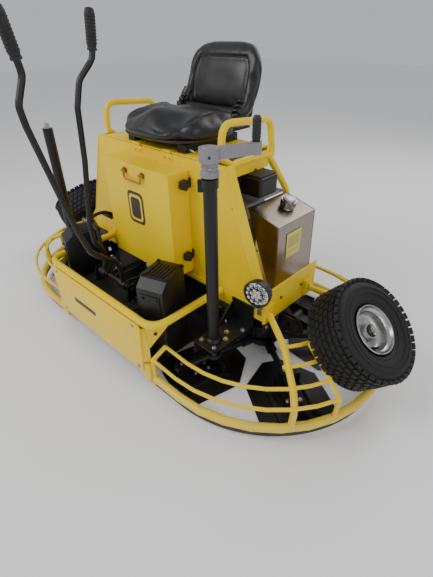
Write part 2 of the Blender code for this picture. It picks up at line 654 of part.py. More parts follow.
# ---- rotors -----------------------------------------------------------------
def build_rotors():
    """Gearbox, spider and five pitching blades on each side."""
    for name, way in SIDES:
        cx = way * ROTOR_X
        case = turned([(0, 0.100), (0.078, 0.100), (0.100, 0.118), (0.100, 0.168), (0.066, 0.198), (0, 0.198)], 16)
        moved(case, (ROTOR_X, 0, 0))
        saddle = block(ROTOR_X - 0.060, ROTOR_X + 0.060, -0.050, 0.050, 0.150, 0.252)
        fork = prism([(-0.018, 0.0), (0.018, 0.0), (0.013, -0.325), (-0.013, -0.325)], "Z", 0.150, 0.162)
        fork.transform(Matrix.Translation((ROTOR_X + 0.003, 0, 0)))
        nose = rod((*POST_XY, 0.148), (*POST_XY, 0.164), 0.026, 20)
        hole = rod((*POST_XY, 0.1), (*POST_XY, 0.2), 0.0175, 16)
        drive = rod((ROTOR_X - 0.05, 0, 0.205), (ROTOR_X - 0.145, 0, 0.205), 0.034, 20)
        box = less(welded(case, saddle, fork, nose, drive), hole)
        add_part("gearbox_" + name, on_side(box, way), BLACK, (cx, 0, ROTOR_TILT_Z))

        hub = turned([(0, 0.030), (0.050, 0.030), (0.064, 0.044), (0.064, 0.084), (0.040, 0.0994), (0, 0.0994)], 16)
        arms = []
        for k in range(BLADES):
            a = math.radians(BLADE_PHASE + 360 / BLADES * k)
            far = Vector((math.cos(a), math.sin(a), 0))
            arms.append(rod(far * 0.030 + Vector((0, 0, ARM_Z)), far * ARM_TIP_R + Vector((0, 0, ARM_Z)), ARM_R, 8))
            arms.append(rod(far * 0.050 + Vector((0, 0, ARM_Z)), far * 0.112 + Vector((0, 0, ARM_Z)), 0.021, 12))
        spider = welded(hub, *arms)
        moved(spider, (ROTOR_X, 0, 0))
        add_part("spider_" + name, on_side(spider, way), BLACK, (cx, 0, ARM_Z))

        for k in range(BLADES):
            half = BLADE_CHORD / 2
            plate = prism([(BLADE_HEEL_R, -0.040), (BLADE_ROOT_R, -half), (BLADE_TIP_R - 0.022, -half),
                           (BLADE_TIP_R, -0.45 * half), (BLADE_TIP_R, 0.45 * half),
                           (BLADE_TIP_R - 0.022, half), (BLADE_ROOT_R, half), (BLADE_HEEL_R, 0.040)],
                          "Z", 0.0, BLADE_T)
            rib = block(BLADE_ROOT_R + 0.004, BLADE_TIP_R - 0.032, -0.030, 0.030, BLADE_T - 0.001, 0.022)
            lugs = []
            for r in (0.250, 0.395):
                lugs.append(block(r - 0.016, r + 0.016, -0.022, 0.022, 0.018, 0.082))
            bore = rod((0.1, 0, ARM_Z), (0.5, 0, ARM_Z), ARM_R + 0.0015, 8)
            blade = less(welded(plate, rib, *lugs), bore)
            angle = BLADE_PHASE + 360 / BLADES * k
            moved(blade, (ROTOR_X, 0, 0), spin=angle)
            add_part("blade_%s_%d" % (name, k + 1), on_side(blade, way), BLADE_STEEL, (cx, 0, ARM_Z))


# ---- wheels -----------------------------------------------------------------
def build_wheels():
    """Transport wheels, swung up on their arms above the guard."""
    camber = math.radians(WHEEL_CAMBER)
    aim = Vector((math.cos(camber), 0, math.sin(camber)))
    centre = Vector(WHEEL_C)
    half = WHEEL_W / 2
    tyre = [(RIM_R + 0.001, -0.052), (RIM_R + 0.016, -0.062), (0.135, -half), (0.165, -half + 0.010),
            (0.180, -half + 0.028), (WHEEL_R, -0.022), (WHEEL_R, 0.022), (0.180, half - 0.028),
            (0.165, half - 0.010), (0.135, half), (RIM_R + 0.016, 0.062), (RIM_R + 0.001, 0.052),
            (0.082, 0.040), (0.082, -0.040)]
    rim = [(0.0135, -0.040), (0.030, -0.040), (0.034, 0.004), (0.060, 0.010), (0.070, -0.020), (0.074, -0.050),
           (0.084, -0.062), (RIM_R, -0.062), (0.0853, -0.0535), (0.0812, -0.040), (0.0812, 0.040), (0.0853, 0.0535),
           (RIM_R, 0.062), (0.084, 0.062), (0.074, 0.050), (0.068, 0.016), (0.032, 0.012), (0.026, 0.044),
           (0.0135, 0.044)]
    for name, way in SIDES:
        hub = (way * centre.x, centre.y, centre.z)
        add_part("tyre_" + name, on_side(moved(turned(tyre, 26), centre, aim), way), RUBBER, hub)
        add_part("wheel_rim_" + name, on_side(moved(turned(rim, 18), centre, aim), way), ZINC, hub)
        pivot = Vector(ARM_PIVOT)
        axle = rod(centre - aim * 0.108, centre + aim * 0.050, 0.0128, 16)
        collar = rod(centre - aim * 0.110, centre - aim * 0.082, 0.022, 16)
        elbow = centre - aim * 0.100
        run = elbow - pivot
        bar = block(-0.004, run.length + 0.012, -0.019, 0.019, -0.017, 0.017)
        bar.transform(Matrix.Translation(pivot) @ Matrix.Rotation(-math.atan2(run.z, run.x), 4, "Y"))
        boss = rod(pivot + Vector((0, -0.032, 0)), pivot + Vector((0, 0.032, 0)), 0.026, 16)
        bore = rod(pivot + Vector((0, -0.1, 0)), pivot + Vector((0, 0.1, 0)), 0.0106, 12)
        arm = less(welded(bar, boss, collar, axle), bore)
        origin = (way * pivot.x, pivot.y, pivot.z)
        add_part("wheel_arm_" + name, on_side(arm, way), BLACK, origin)
        top = BASE_Z - GAP
        under = 0.250 - GAP
        cheeks = []
        for y in (-0.0405, 0.0335):
            outline = [(0.546, top), (0.571, top), (0.571, under), (0.646, under), (pivot.x + 0.030, pivot.z - 0.022),
                       (pivot.x - 0.030, pivot.z - 0.024), (0.546, pivot.z + 0.010)]
            cheeks.append(prism(outline, "Y", pivot.y + y, pivot.y + y + 0.007))
        plate = block(0.545, 0.5715, pivot.y - 0.062, pivot.y + 0.062, top - 0.006, top)
        pin = rod(pivot + Vector((0, -0.052, 0)), pivot + Vector((0, 0.052, 0)), 0.0098, 12)
        add_part("wheel_bracket_" + name, on_side(welded(plate, *cheeks, pin), way), BLACK)


build_guard()
build_base()
build_footwell()
build_foot_boxes()
build_cowl()
build_seat()
build_side_frames()
build_engine()
build_lamp()
build_posts()
build_levers()
build_rotors()
build_wheels()
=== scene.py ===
"""Looks of the ride-on power trowel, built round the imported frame.

Metres. +X is the operator's left, -Y the front, +Z up, the floor at z = 0.
"""
import json
from math import copysign, cos, exp, hypot, pi, radians, sin, sqrt

import bmesh
import bpy
from mathutils import Matrix, Vector
from mathutils.bvhtree import BVHTree


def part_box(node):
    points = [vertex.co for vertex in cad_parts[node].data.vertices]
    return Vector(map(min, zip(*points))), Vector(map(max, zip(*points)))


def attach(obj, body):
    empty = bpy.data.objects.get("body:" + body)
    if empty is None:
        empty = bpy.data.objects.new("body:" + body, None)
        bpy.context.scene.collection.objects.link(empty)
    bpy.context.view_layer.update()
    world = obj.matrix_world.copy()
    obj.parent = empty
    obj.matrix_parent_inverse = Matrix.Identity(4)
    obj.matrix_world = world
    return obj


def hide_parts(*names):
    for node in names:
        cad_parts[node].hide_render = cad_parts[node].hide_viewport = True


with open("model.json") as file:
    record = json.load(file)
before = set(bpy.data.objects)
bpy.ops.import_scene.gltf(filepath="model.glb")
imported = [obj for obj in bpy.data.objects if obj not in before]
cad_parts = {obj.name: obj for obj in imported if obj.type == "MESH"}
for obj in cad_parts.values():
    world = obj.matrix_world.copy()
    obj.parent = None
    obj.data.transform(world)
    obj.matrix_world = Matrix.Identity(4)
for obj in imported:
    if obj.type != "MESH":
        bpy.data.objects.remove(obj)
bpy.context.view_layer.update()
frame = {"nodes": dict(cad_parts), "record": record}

NODES = frame["nodes"]
SIDES = (("left", 1), ("right", -1))
POWDER, PLASTIC, ZINC = "black_powder_coat", "black_plastic", "zinc_steel"
SEAT = "seat_assembly"

ROTOR_X = 0.475
ROTOR_PLACE = (ROTOR_X, 0, 0)
POST = (0.481, -0.31)
WHEEL_CENTRE = Vector((0.879, 0.014, 0.28))
CAMBER = radians(47.6)
WHEEL_AIM = Vector((cos(CAMBER), 0, sin(CAMBER)))
LAMP_CENTRE = Vector((0.574, -0.186, 0.408))
LAMP_AIM = Vector((0.19, -0.98, 0.0)).normalized()
WHEEL_FRAME = (WHEEL_CENTRE, WHEEL_AIM)
LAMP_FRAME = (LAMP_CENTRE, LAMP_AIM)
LEVER_AXIS = (-0.392, 0.322)
TANK_NECK = Vector((0.42, 0.178, 0.5715))
TANK_NECK_AXIS = Vector((0.04, 0, 0.148)).normalized()
TANK_ENDS_Y = (0.027, 0.271)
LATCH_HEIGHTS = (0.702, 0.414)
HINGE_X = (-0.09, 0.09)
PEDESTAL_CORNER = (0.198, -0.31, 0)
PEDESTAL_TURN = radians(18.5)
GUSSET_SHEET = 0.003
FLANGE_BOLTS = ((0.45, -0.34), (0.45, -0.28), (0.512, -0.34), (0.512, -0.28), (0.488, -0.248),
                (0.438, -0.2), (0.524, -0.2))
BLADES, FIRST_BLADE, BLADE_STEP = 5, -33.0, 72
STARTER_FACE = (0.02, 0.225, 0.56)
SILENCER_X, SILENCER_Z = -0.285, 0.56
COVER_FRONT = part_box("access_cover")[0][1]


def linked(name, data):
    """A new object in the scene."""
    obj = bpy.data.objects.new(name, data)
    bpy.context.scene.collection.objects.link(obj)
    return obj


def stored(bm):
    """The bmesh as a new mesh."""
    mesh = bpy.data.meshes.new("shape")
    bm.to_mesh(mesh)
    bm.free()
    return mesh


def baked(obj):
    """A mesh of the object with its modifiers or curve evaluated."""
    graph = bpy.context.evaluated_depsgraph_get()
    return bpy.data.meshes.new_from_object(obj.evaluated_get(graph))


# ---- camera, light and floor ----
CAMERA_LENS = 24.59
CAMERA_PLACE = (1.2512, -1.0764, 1.1718)
CAMERA_TURN = (0.9828, 0.0138, 0.7663)
SKY_STRENGTH = 0.55
LIGHT_TARGET = Vector((0, 0, 0.4))
LIGHTS = (("key", (-1.3, -2.6, 3.0), 70.0, 2.0), ("fill", (3.0, -1.0, 2.0), 26.0, 2.4),
          ("back", (0.6, 2.8, 2.6), 40.0, 2.2))
FLOOR_REACH = 14.0
FLOOR_DROP = 0.0006


def set_stage():
    """Camera at the photograph's viewpoint, soft studio light and a pale floor."""
    camera = bpy.data.cameras.new("camera")
    camera.lens = CAMERA_LENS
    camera.sensor_width = 36.0
    eye = linked("camera", camera)
    eye.location = CAMERA_PLACE
    eye.rotation_euler = CAMERA_TURN
    bpy.context.scene.camera = eye

    world = bpy.data.worlds.new("studio")
    world.use_nodes = True
    dial(world.node_tree.nodes["Background"], {"Color": (0.96, 0.97, 1.0, 1.0), "Strength": SKY_STRENGTH})
    bpy.context.scene.world = world

    for name, place, power, size in LIGHTS:
        light = bpy.data.lights.new(name, "AREA")
        light.energy = power
        light.size = size
        holder = linked(name, light)
        holder.location = place
        holder.rotation_euler = (LIGHT_TARGET - Vector(place)).to_track_quat("-Z", "Y").to_euler()

    bm = bmesh.new()
    bmesh.ops.create_grid(bm, x_segments=1, y_segments=1, size=FLOOR_REACH)
    floor = linked("floor", stored(bm))
    floor.location = (0, 0, -FLOOR_DROP)
    floor.data.materials.append(surface("floor_pale", (0.93, 0.93, 0.93), 0.75, spread=0.01,
                                        scale=0.5, bump=0.0))


# ---- materials ----
def node(mat, kind, values=None):
    """A new shader node with its inputs set by name."""
    made = mat.node_tree.nodes.new("ShaderNode" + kind)
    dial(made, values or {})
    return made


def dial(target, values):
    """Set a node's inputs by name."""
    for key, value in values.items():
        target.inputs[key].default_value = value


def wire(source, output, target, entry):
    source.id_data.links.new(source.outputs[output], target.inputs[entry])


def noise_node(mat, scale, detail=4.0, stretch=(1, 1, 1)):
    """Noise over the object's own metres, optionally stretched along an axis."""
    where = node(mat, "TexCoord")
    mapping = node(mat, "Mapping", {"Scale": stretch})
    noise = node(mat, "TexNoise", {"Scale": scale, "Detail": detail})
    wire(where, "Object", mapping, "Vector")
    wire(mapping, "Vector", noise, "Vector")
    return noise


def ramp_node(mat, source, stops):
    """Colour ramp fed by a noise; stops are (position, colour)."""
    ramp = node(mat, "ValToRGB")
    band = ramp.color_ramp
    while len(band.elements) < len(stops):
        band.elements.new(0.5)
    for element, (position, colour) in zip(band.elements, stops):
        element.position = position
        element.color = (*colour, 1.0)
    wire(source, "Fac", ramp, "Fac")
    return ramp


def overlaid(mat, below, colour, mask, output):
    """A plain colour laid over another where the mask is bright."""
    mix = node(mat, "MixRGB", {"Color2": (*colour, 1.0)})
    wire(mask, output, mix, "Fac")
    wire(below, "Color", mix, "Color1")
    return mix


def shaded(colour, factor):
    return tuple(min(1.0, c * factor) for c in colour)


def surface(name, colour, roughness, metallic=0.0, coat=0.0, specular=0.5, spread=0.08,
            scale=9.0, bump=0.15,
            grain=420.0, stretch=(1, 1, 1), wear=None, wear_amount=0.03, dust=None):
    """Principled material with colour drift, roughness drift, grain, worn specks and low dust."""
    mat = bpy.data.materials.new(name)
    mat.use_nodes = True
    shader = mat.node_tree.nodes["Principled BSDF"]
    dial(shader, {"Metallic": metallic, "Coat Weight": coat, "Coat Roughness": 0.18,
                  "Specular IOR Level": specular})

    drift = noise_node(mat, scale, 5.0, stretch)
    tint = ramp_node(mat, drift, ((0.3, shaded(colour, 1 - spread)), (0.52, colour),
                                  (0.72, shaded(colour, 1 + spread))))
    if wear is not None:
        specks = noise_node(mat, 55.0, 8.0)
        mask = ramp_node(mat, specks, ((0.7 - wear_amount, (0, 0, 0)), (0.74, (1, 1, 1))))
        tint = overlaid(mat, tint, wear, mask, "Color")
    if dust is not None:
        where = node(mat, "TexCoord")
        split = node(mat, "SeparateXYZ")
        low = node(mat, "MapRange", {"From Min": 0.3, "From Max": 0.0, "To Max": 0.45})
        patch = noise_node(mat, 14.0, 6.0)
        times = node(mat, "Math")
        times.operation = "MULTIPLY"
        wire(where, "Object", split, "Vector")
        wire(split, "Z", low, "Value")
        wire(low, "Result", times, 0)
        wire(patch, "Fac", times, 1)
        tint = overlaid(mat, tint, dust, times, "Value")
    wire(tint, "Color", shader, "Base Color")

    gloss = node(mat, "MapRange",
                 {"To Min": max(0.05, roughness - 0.1), "To Max": min(1.0, roughness + 0.12)})
    wire(drift, "Fac", gloss, "Value")
    wire(gloss, "Result", shader, "Roughness")
    if bump > 0:
        fine = noise_node(mat, grain, 3.0, stretch)
        relief = node(mat, "Bump", {"Strength": bump, "Distance": 0.0006})
        wire(fine, "Fac", relief, "Height")
        wire(relief, "Normal", shader, "Normal")
    return mat


def vinyl_material():
    """Black grained vinyl with soft wrinkles."""
    mat = surface("seat_vinyl", (0.006, 0.006, 0.0068), 0.38, coat=0.1, spread=0.18, scale=16.0, bump=0.0)
    where = node(mat, "TexCoord")
    cells = node(mat, "TexVoronoi", {"Scale": 420.0})
    cells.feature = "DISTANCE_TO_EDGE"
    wire(where, "Object", cells, "Vector")
    folds = noise_node(mat, 22.0, 3.0, (1, 1.6, 1))
    grain = node(mat, "Bump", {"Strength": 0.22, "Distance": 0.0006})
    wrinkle = node(mat, "Bump", {"Strength": 0.1, "Distance": 0.004})
    wire(cells, "Distance", grain, "Height")
    wire(folds, "Fac", wrinkle, "Height")
    wire(grain, "Normal", wrinkle, "Normal")
    wire(wrinkle, "Normal", mat.node_tree.nodes["Principled BSDF"], "Normal")
    return mat


GOLD = (0.92, 0.64, 0.0)
CONCRETE = (0.42, 0.4, 0.37)
MAT = {
    "yellow_paint": surface(
        "yellow_enamel", GOLD, 0.36, coat=0.05, specular=0.22, spread=0.05, scale=5.0, bump=0.1,
        grain=260.0, wear=(0.5, 0.3, 0.05), wear_amount=-0.012, dust=CONCRETE),
    "black_powder_coat": surface(
        "black_powder", (0.007, 0.007, 0.0075), 0.4, specular=0.4, spread=0.25, scale=12.0, bump=0.35,
        grain=600.0, wear=(0.09, 0.09, 0.09), wear_amount=0.0, dust=(0.035, 0.032, 0.03)),
    "black_plastic": surface(
        "black_moulding", (0.013, 0.013, 0.014), 0.48, spread=0.15, bump=0.25, grain=900.0),
    "black_vinyl": vinyl_material(),
    "grip_rubber": surface("grip_rubber", (0.014, 0.014, 0.014), 0.62, spread=0.2, bump=0.4, grain=700.0),
    "tyre": surface(
        "tyre_rubber", (0.008, 0.008, 0.008), 0.62, specular=0.4, spread=0.3, scale=14.0, bump=0.5,
        grain=380.0, dust=(0.02, 0.019, 0.018)),
    "zinc_steel": surface(
        "zinc_plate", (0.48, 0.48, 0.47), 0.26, metallic=1.0, spread=0.14, scale=26.0, bump=0.15,
        grain=300.0, wear=(0.3, 0.28, 0.26), wear_amount=0.0),
    "stainless_sheet": surface(
        "stainless_sheet", (0.3, 0.25, 0.21), 0.26, metallic=1.0, spread=0.1, scale=7.0, bump=0.25,
        grain=240.0, stretch=(1.0, 1.0, 0.03)),
    "grey_casting": surface(
        "grey_casting", (0.27, 0.255, 0.275), 0.48, metallic=0.35, spread=0.1, scale=30.0, bump=0.5,
        grain=350.0, wear=(0.55, 0.53, 0.55), wear_amount=0.0),
    "bronze_plating": surface(
        "bronze_plate", (0.47, 0.24, 0.08), 0.3, metallic=1.0, spread=0.15, bump=0.1),
    "blade_steel": surface(
        "blade_steel", (0.016, 0.0155, 0.016), 0.36, metallic=0.6, spread=0.35, scale=10.0, bump=0.3,
        grain=200.0, wear=(0.1, 0.095, 0.09), wear_amount=-0.01, dust=(0.045, 0.042, 0.04)),
}
EXTRA = {
    "dark_steel": surface(
        "dark_steel", (0.05, 0.045, 0.042), 0.42, metallic=0.8, spread=0.3, scale=30.0, bump=0.2),
    "label_yellow": surface("label_yellow", (0.72, 0.62, 0.12), 0.45, spread=0.06, bump=0.02),
    "label_ink": surface("label_ink", (0.04, 0.035, 0.03), 0.5, spread=0.1, bump=0.02),
    "label_print": surface("label_print", (0.5, 0.44, 0.12), 0.5, bump=0.0),
    "reflector": surface(
        "reflector", (0.72, 0.72, 0.74), 0.18, metallic=1.0, spread=0.08, scale=60.0, bump=0.0),
    "led": surface("led_phosphor", (0.8, 0.78, 0.62), 0.35, spread=0.05, scale=80.0, bump=0.0),
    # Near-black look of the strip under the guard ring: painted shadow of the ring on the floor.
    "painted_guard_shadow_look": surface(
        "painted_shadow_black", (0.018, 0.017, 0.016), 0.6, spread=0.3, scale=18.0, bump=0.3,
        dust=(0.1, 0.09, 0.08)),
}


def dress_frame():
    """Every CAD node takes the procedural version of its slot's finish."""
    for entry in frame["record"]["subparts"]:
        solid = NODES[entry["node"]].data
        solid.materials.clear()
        solid.materials.append(MAT[entry["material_slot"]])


# ---- piece helpers ----
def piece(name, mesh, slot, body="machine", hides=(), angle=38, look=None):
    """A finished mesh becomes a piece on a body; its look is its slot's unless one of EXTRA is named."""
    mesh.name = name
    mesh.materials.clear()
    mesh.materials.append(EXTRA[look] if look else MAT[slot])
    mesh.polygons.foreach_set("use_smooth", [True] * len(mesh.polygons))
    mesh.set_sharp_from_angle(angle=radians(angle))
    obj = linked(name, mesh)
    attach(obj, body)
    if hides:
        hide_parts(*hides)
    return obj


def to_mesh(bm):
    bmesh.ops.remove_doubles(bm, verts=bm.verts, dist=1e-6)
    bmesh.ops.recalc_face_normals(bm, faces=bm.faces)
    return stored(bm)


def joined(*meshes):
    """Several meshes as one."""
    bm = bmesh.new()
    for mesh in meshes:
        bm.from_mesh(mesh)
    return stored(bm)


def placed(mesh, location=(0, 0, 0), direction=None, spin=0.0):
    """Spin about +Z, aim +Z along a direction, then shift."""
    matrix = Matrix.Translation(location)
    if direction is not None:
        matrix = matrix @ Vector((0, 0, 1)).rotation_difference(Vector(direction)).to_matrix().to_4x4()
    mesh.transform(matrix @ Matrix.Rotation(radians(spin), 4, "Z"))
    return mesh


def mirrored(mesh, side):
    """The mesh on the left, its reflection on the right."""
    other = mesh.copy()
    if side == "right":
        other.transform(Matrix.Diagonal((-1, 1, 1, 1)))
        other.flip_normals()
    return other


def sided(side, stem, mesh, slot, body="machine", hides=(), angle=38, look=None):
    """A piece shaped for the left, reflected for the right."""
    return piece("%s_%s" % (stem, side), mirrored(mesh, side), slot, body, hides, angle, look)


def extruded(points, shift):
    """A flat outline given its thickness."""
    bm = bmesh.new()
    face = bm.faces.new([bm.verts.new(point) for point in points])
    grown = bmesh.ops.extrude_face_region(bm, geom=[face], use_keep_orig=True)
    far = [item for item in grown["geom"] if isinstance(item, bmesh.types.BMVert)]
    bmesh.ops.translate(bm, verts=far, vec=shift)
    return to_mesh(bm)


def box_mesh(x0, x1, y0, y1, z0, z1, bevel=0.0):
    bm = bmesh.new()
    bmesh.ops.create_cube(bm, size=1.0)
    bmesh.ops.scale(bm, verts=bm.verts, vec=(x1 - x0, y1 - y0, z1 - z0))
    bmesh.ops.translate(bm, verts=bm.verts, vec=((x0 + x1) / 2, (y0 + y1) / 2, (z0 + z1) / 2))
    if bevel:
        bmesh.ops.bevel(bm, geom=bm.edges[:], offset=bevel, segments=2, affect="EDGES", profile=0.5)
    return to_mesh(bm)


def lathe(profile, steps=48):
    """A (radius, height) outline spun about +Z; closed first when it starts off the axis."""
    bm = bmesh.new()
    verts = [bm.verts.new((radius, 0, height)) for radius, height in profile]
    edges = [bm.edges.new(pair) for pair in zip(verts, verts[1:])]
    if profile[0][0] > 0:
        edges.append(bm.edges.new((verts[-1], verts[0])))
    bmesh.ops.spin(bm, geom=verts + edges, axis=(0, 0, 1), cent=(0, 0, 0), angle=2 * pi,
                   steps=steps, use_merge=True)
    return to_mesh(bm)


def tube(points, radius, sides=3, closed=False, smooth=True):
    """Round bar through points, from a bevelled curve."""
    curve = bpy.data.curves.new("bar", "CURVE")
    curve.dimensions = "3D"
    curve.bevel_depth = radius
    curve.bevel_resolution = sides
    curve.use_fill_caps = True
    if smooth:
        spline = curve.splines.new("BEZIER")
        spline.bezier_points.add(len(points) - 1)
        for knot, place in zip(spline.bezier_points, points):
            knot.co = place
            knot.handle_left_type = knot.handle_right_type = "AUTO"
        spline.resolution_u = 6
    else:
        spline = curve.splines.new("POLY")
        spline.points.add(len(points) - 1)
        for knot, place in zip(spline.points, points):
            knot.co = (*place, 1.0)
    spline.use_cyclic_u = closed
    holder = linked("bar", curve)
    bm = bmesh.new()
    bm.from_mesh(baked(holder))
    bpy.data.objects.remove(holder, do_unlink=True)
    return to_mesh(bm)


def bar(points, radius, sides):
    """Straight runs of round bar."""
    return tube(points, radius, sides, smooth=False)


def hex_bolt(size):
    """Washer and domed hexagon head on z = 0; size is half the head's width."""
    washer = lathe([(0, 0), (size * 1.45, 0), (size * 1.45, size * 0.25), (0, size * 0.25)], 20)
    bm = bmesh.new()
    bmesh.ops.create_cone(bm, cap_ends=True, segments=6, radius1=size * 1.12, radius2=size * 1.12,
                          depth=size * 0.9)
    bmesh.ops.translate(bm, verts=bm.verts, vec=(0, 0, size * 0.68))
    bmesh.ops.bevel(bm, geom=bm.edges[:], offset=size * 0.12, segments=1, affect="EDGES")
    return joined(washer, to_mesh(bm))


def socket_bolt(size):
    """Round button head with a hexagon socket."""
    profile = ((0, 0.35), (0.45, 0.35), (0.5, 0.72), (0.8, 0.6), (1, 0.25), (1, 0), (0, 0))
    return lathe([(size * radius, size * height) for radius, height in profile], 18)


def bolts(name, spots, size, slot=ZINC, kind=hex_bolt, look=None):
    """One piece holding the bolts at (place, direction) spots, each turned a little from the last."""
    heads = [placed(kind(size), place, direction, 17.0 * index)
             for index, (place, direction) in enumerate(spots)]
    return piece(name, joined(*heads), slot, look=look)


# ---- seat ----
PAD_VOXEL = 0.005
CLOTH_FRAMES = 20
CLOTH = {"quality": 4, "mass": 0.3, "vertex_group_mass": "held", "use_pressure": True,
         "uniform_pressure_force": 4.0, "tension_stiffness": 14.0, "compression_stiffness": 14.0}


def rounded_form(half, power, plan, cuts=10):
    """Superellipsoid block centred on the origin."""
    bm = bmesh.new()
    bmesh.ops.create_cube(bm, size=2.0)
    bmesh.ops.subdivide_edges(bm, edges=bm.edges[:], cuts=cuts, use_grid_fill=True)
    for vert in bm.verts:
        x, y, z = vert.co
        pull = (abs(x) ** power + abs(y) ** power + abs(z) ** power) ** (1 / power)
        x, y, z = x / pull, y / pull, z / pull
        reach = (abs(x) ** plan + abs(y) ** plan) ** (1 / plan)
        if reach > 0:
            square = max(abs(x), abs(y)) / reach
            x, y = x * square, y * square
        vert.co = (x * half[0], y * half[1], z * half[2])
    return to_mesh(bm)


def inflate(mesh, held, cap):
    """Voxel remesh, then a capped cloth simulation under air pressure; held(point) says what stays put."""
    obj = linked("pad", mesh)
    remesh = obj.modifiers.new("remesh", "REMESH")
    remesh.mode = "VOXEL"
    remesh.voxel_size = PAD_VOXEL
    obj.data = baked(obj)
    obj.modifiers.clear()
    start = [vert.co.copy() for vert in obj.data.vertices]
    pinned = obj.vertex_groups.new(name="held")
    pinned.add([i for i, co in enumerate(start) if held(co)], 1.0, "REPLACE")
    cloth = obj.modifiers.new("cloth", "CLOTH")
    for key, value in CLOTH.items():
        setattr(cloth.settings, key, value)
    cloth.settings.effector_weights.gravity = 0.0
    cloth.collision_settings.use_collision = False
    cloth.point_cache.frame_start = 1
    cloth.point_cache.frame_end = CLOTH_FRAMES
    for number in range(1, CLOTH_FRAMES + 1):
        bpy.context.scene.frame_set(number)
    swollen = baked(obj)
    for vert, before in zip(swollen.vertices, start):
        step = vert.co - before
        if step.length > cap:
            vert.co = before + step.normalized() * cap
    bpy.data.objects.remove(obj, do_unlink=True)
    bpy.context.scene.frame_set(1)
    return swollen


def bell(value, middle, width):
    return exp(-((value - middle) / width) ** 2)


def relax(mesh, rounds=3):
    """Even out the voxel steps."""
    bm = bmesh.new()
    bm.from_mesh(mesh)
    for _ in range(rounds):
        bmesh.ops.smooth_vert(bm, verts=bm.verts, factor=0.5, use_axis_x=True, use_axis_y=True,
                              use_axis_z=True)
    bm.to_mesh(mesh)
    bm.free()
    return mesh


PAN_CENTRE = Vector((0, 0.002, 0.868))
BACK_FOOT_Z = 0.866
BACK_TOP_Z = 1.124
BACK_BORDER = 0.062
SIDE_SEAM_X = 0.162


def arch_seam(x):
    """Where the curved seam across the cushion runs."""
    return 0.02 + 0.45 * abs(x) - 0.045


def shape_pan(mesh):
    """Thigh troughs, centre rise, dished middle, sewn lines and raised rear corners."""
    for vert in mesh.vertices:
        x, y, z = vert.co
        if z > -0.008:
            weight = min(1.0, (z + 0.008) / 0.03)
            front = 1 / (1 + exp((y + 0.04) / 0.035))
            lift = -0.017 * bell(abs(x), 0.098, 0.052) * front
            lift += 0.006 * bell(x, 0, 0.03) * front
            lift -= 0.016 * bell(x, 0, 0.12) * bell(y, 0.055, 0.08)
            lift += 0.02 * bell(abs(x), 0.195, 0.05) * bell(y, 0.12, 0.085)
            lift -= 0.01 * bell(y, -0.2, 0.045)
            lift -= 0.0038 * bell(y, arch_seam(x), 0.0065) * (abs(x) < 0.165)
            lift -= 0.004 * bell(abs(x), SIDE_SEAM_X, 0.006) * (y > -0.1)
            lift -= 0.003 * bell(x, 0, 0.006) * bell(y, 0.09, 0.055)
            vert.co.z += lift * weight
    return mesh


def back_width(t):
    """Half width of the backrest at a height share from 0 to 1."""
    return 0.196 + 0.075 * t - 0.088 * t ** 2 - 0.028 * max(0.0, t - 0.62) ** 1.2 / 0.38 ** 1.2


def back_lean(t):
    return 0.228 + 0.068 * t + 0.012 * sin(pi * t)


def shape_back(mesh):
    """Tapered, leaning backrest with a rolled border round a flat inner panel."""
    height = BACK_TOP_Z - BACK_FOOT_Z
    for vert in mesh.vertices:
        x, y, z = vert.co
        t = min(1.0, max(0.0, z / height + 0.5))
        wide = back_width(t)
        sx = x * wide
        if y < 0:
            inside = max(abs(sx) - (wide - BACK_BORDER), (BACK_FOOT_Z + t * height) - (BACK_TOP_Z - 0.052))
            roll = 1 / (1 + exp(-inside / 0.006))
            y += 0.011 * (1 - roll) - 0.004 * roll
            y += 0.0045 * bell(inside, 0.0, 0.005)
        y -= 0.03 * (abs(sx) / 0.2) ** 2.4 * (1 - 0.3 * t)
        vert.co = (sx, back_lean(t) + y, BACK_FOOT_Z + t * height)
    return mesh


def on_surface(tree, start, direction, lift):
    """Point where a ray meets a surface, raised along its normal; None when it misses."""
    hit, normal, _, _ = tree.ray_cast(Vector(start), Vector(direction))
    if hit is None:
        return None
    return hit + normal * lift


def tree_of(obj):
    graph = bpy.context.evaluated_depsgraph_get()
    return BVHTree.FromObject(obj, graph)


def seat_pad(name, mesh, hidden):
    """A padded vinyl piece, smoothed once, in place of its CAD node."""
    pad = piece(name, mesh, "black_vinyl", SEAT, (hidden,), 180)
    pad.modifiers.new("smooth", "SUBSURF").levels = 1
    pad.modifiers["smooth"].render_levels = 1
    return pad


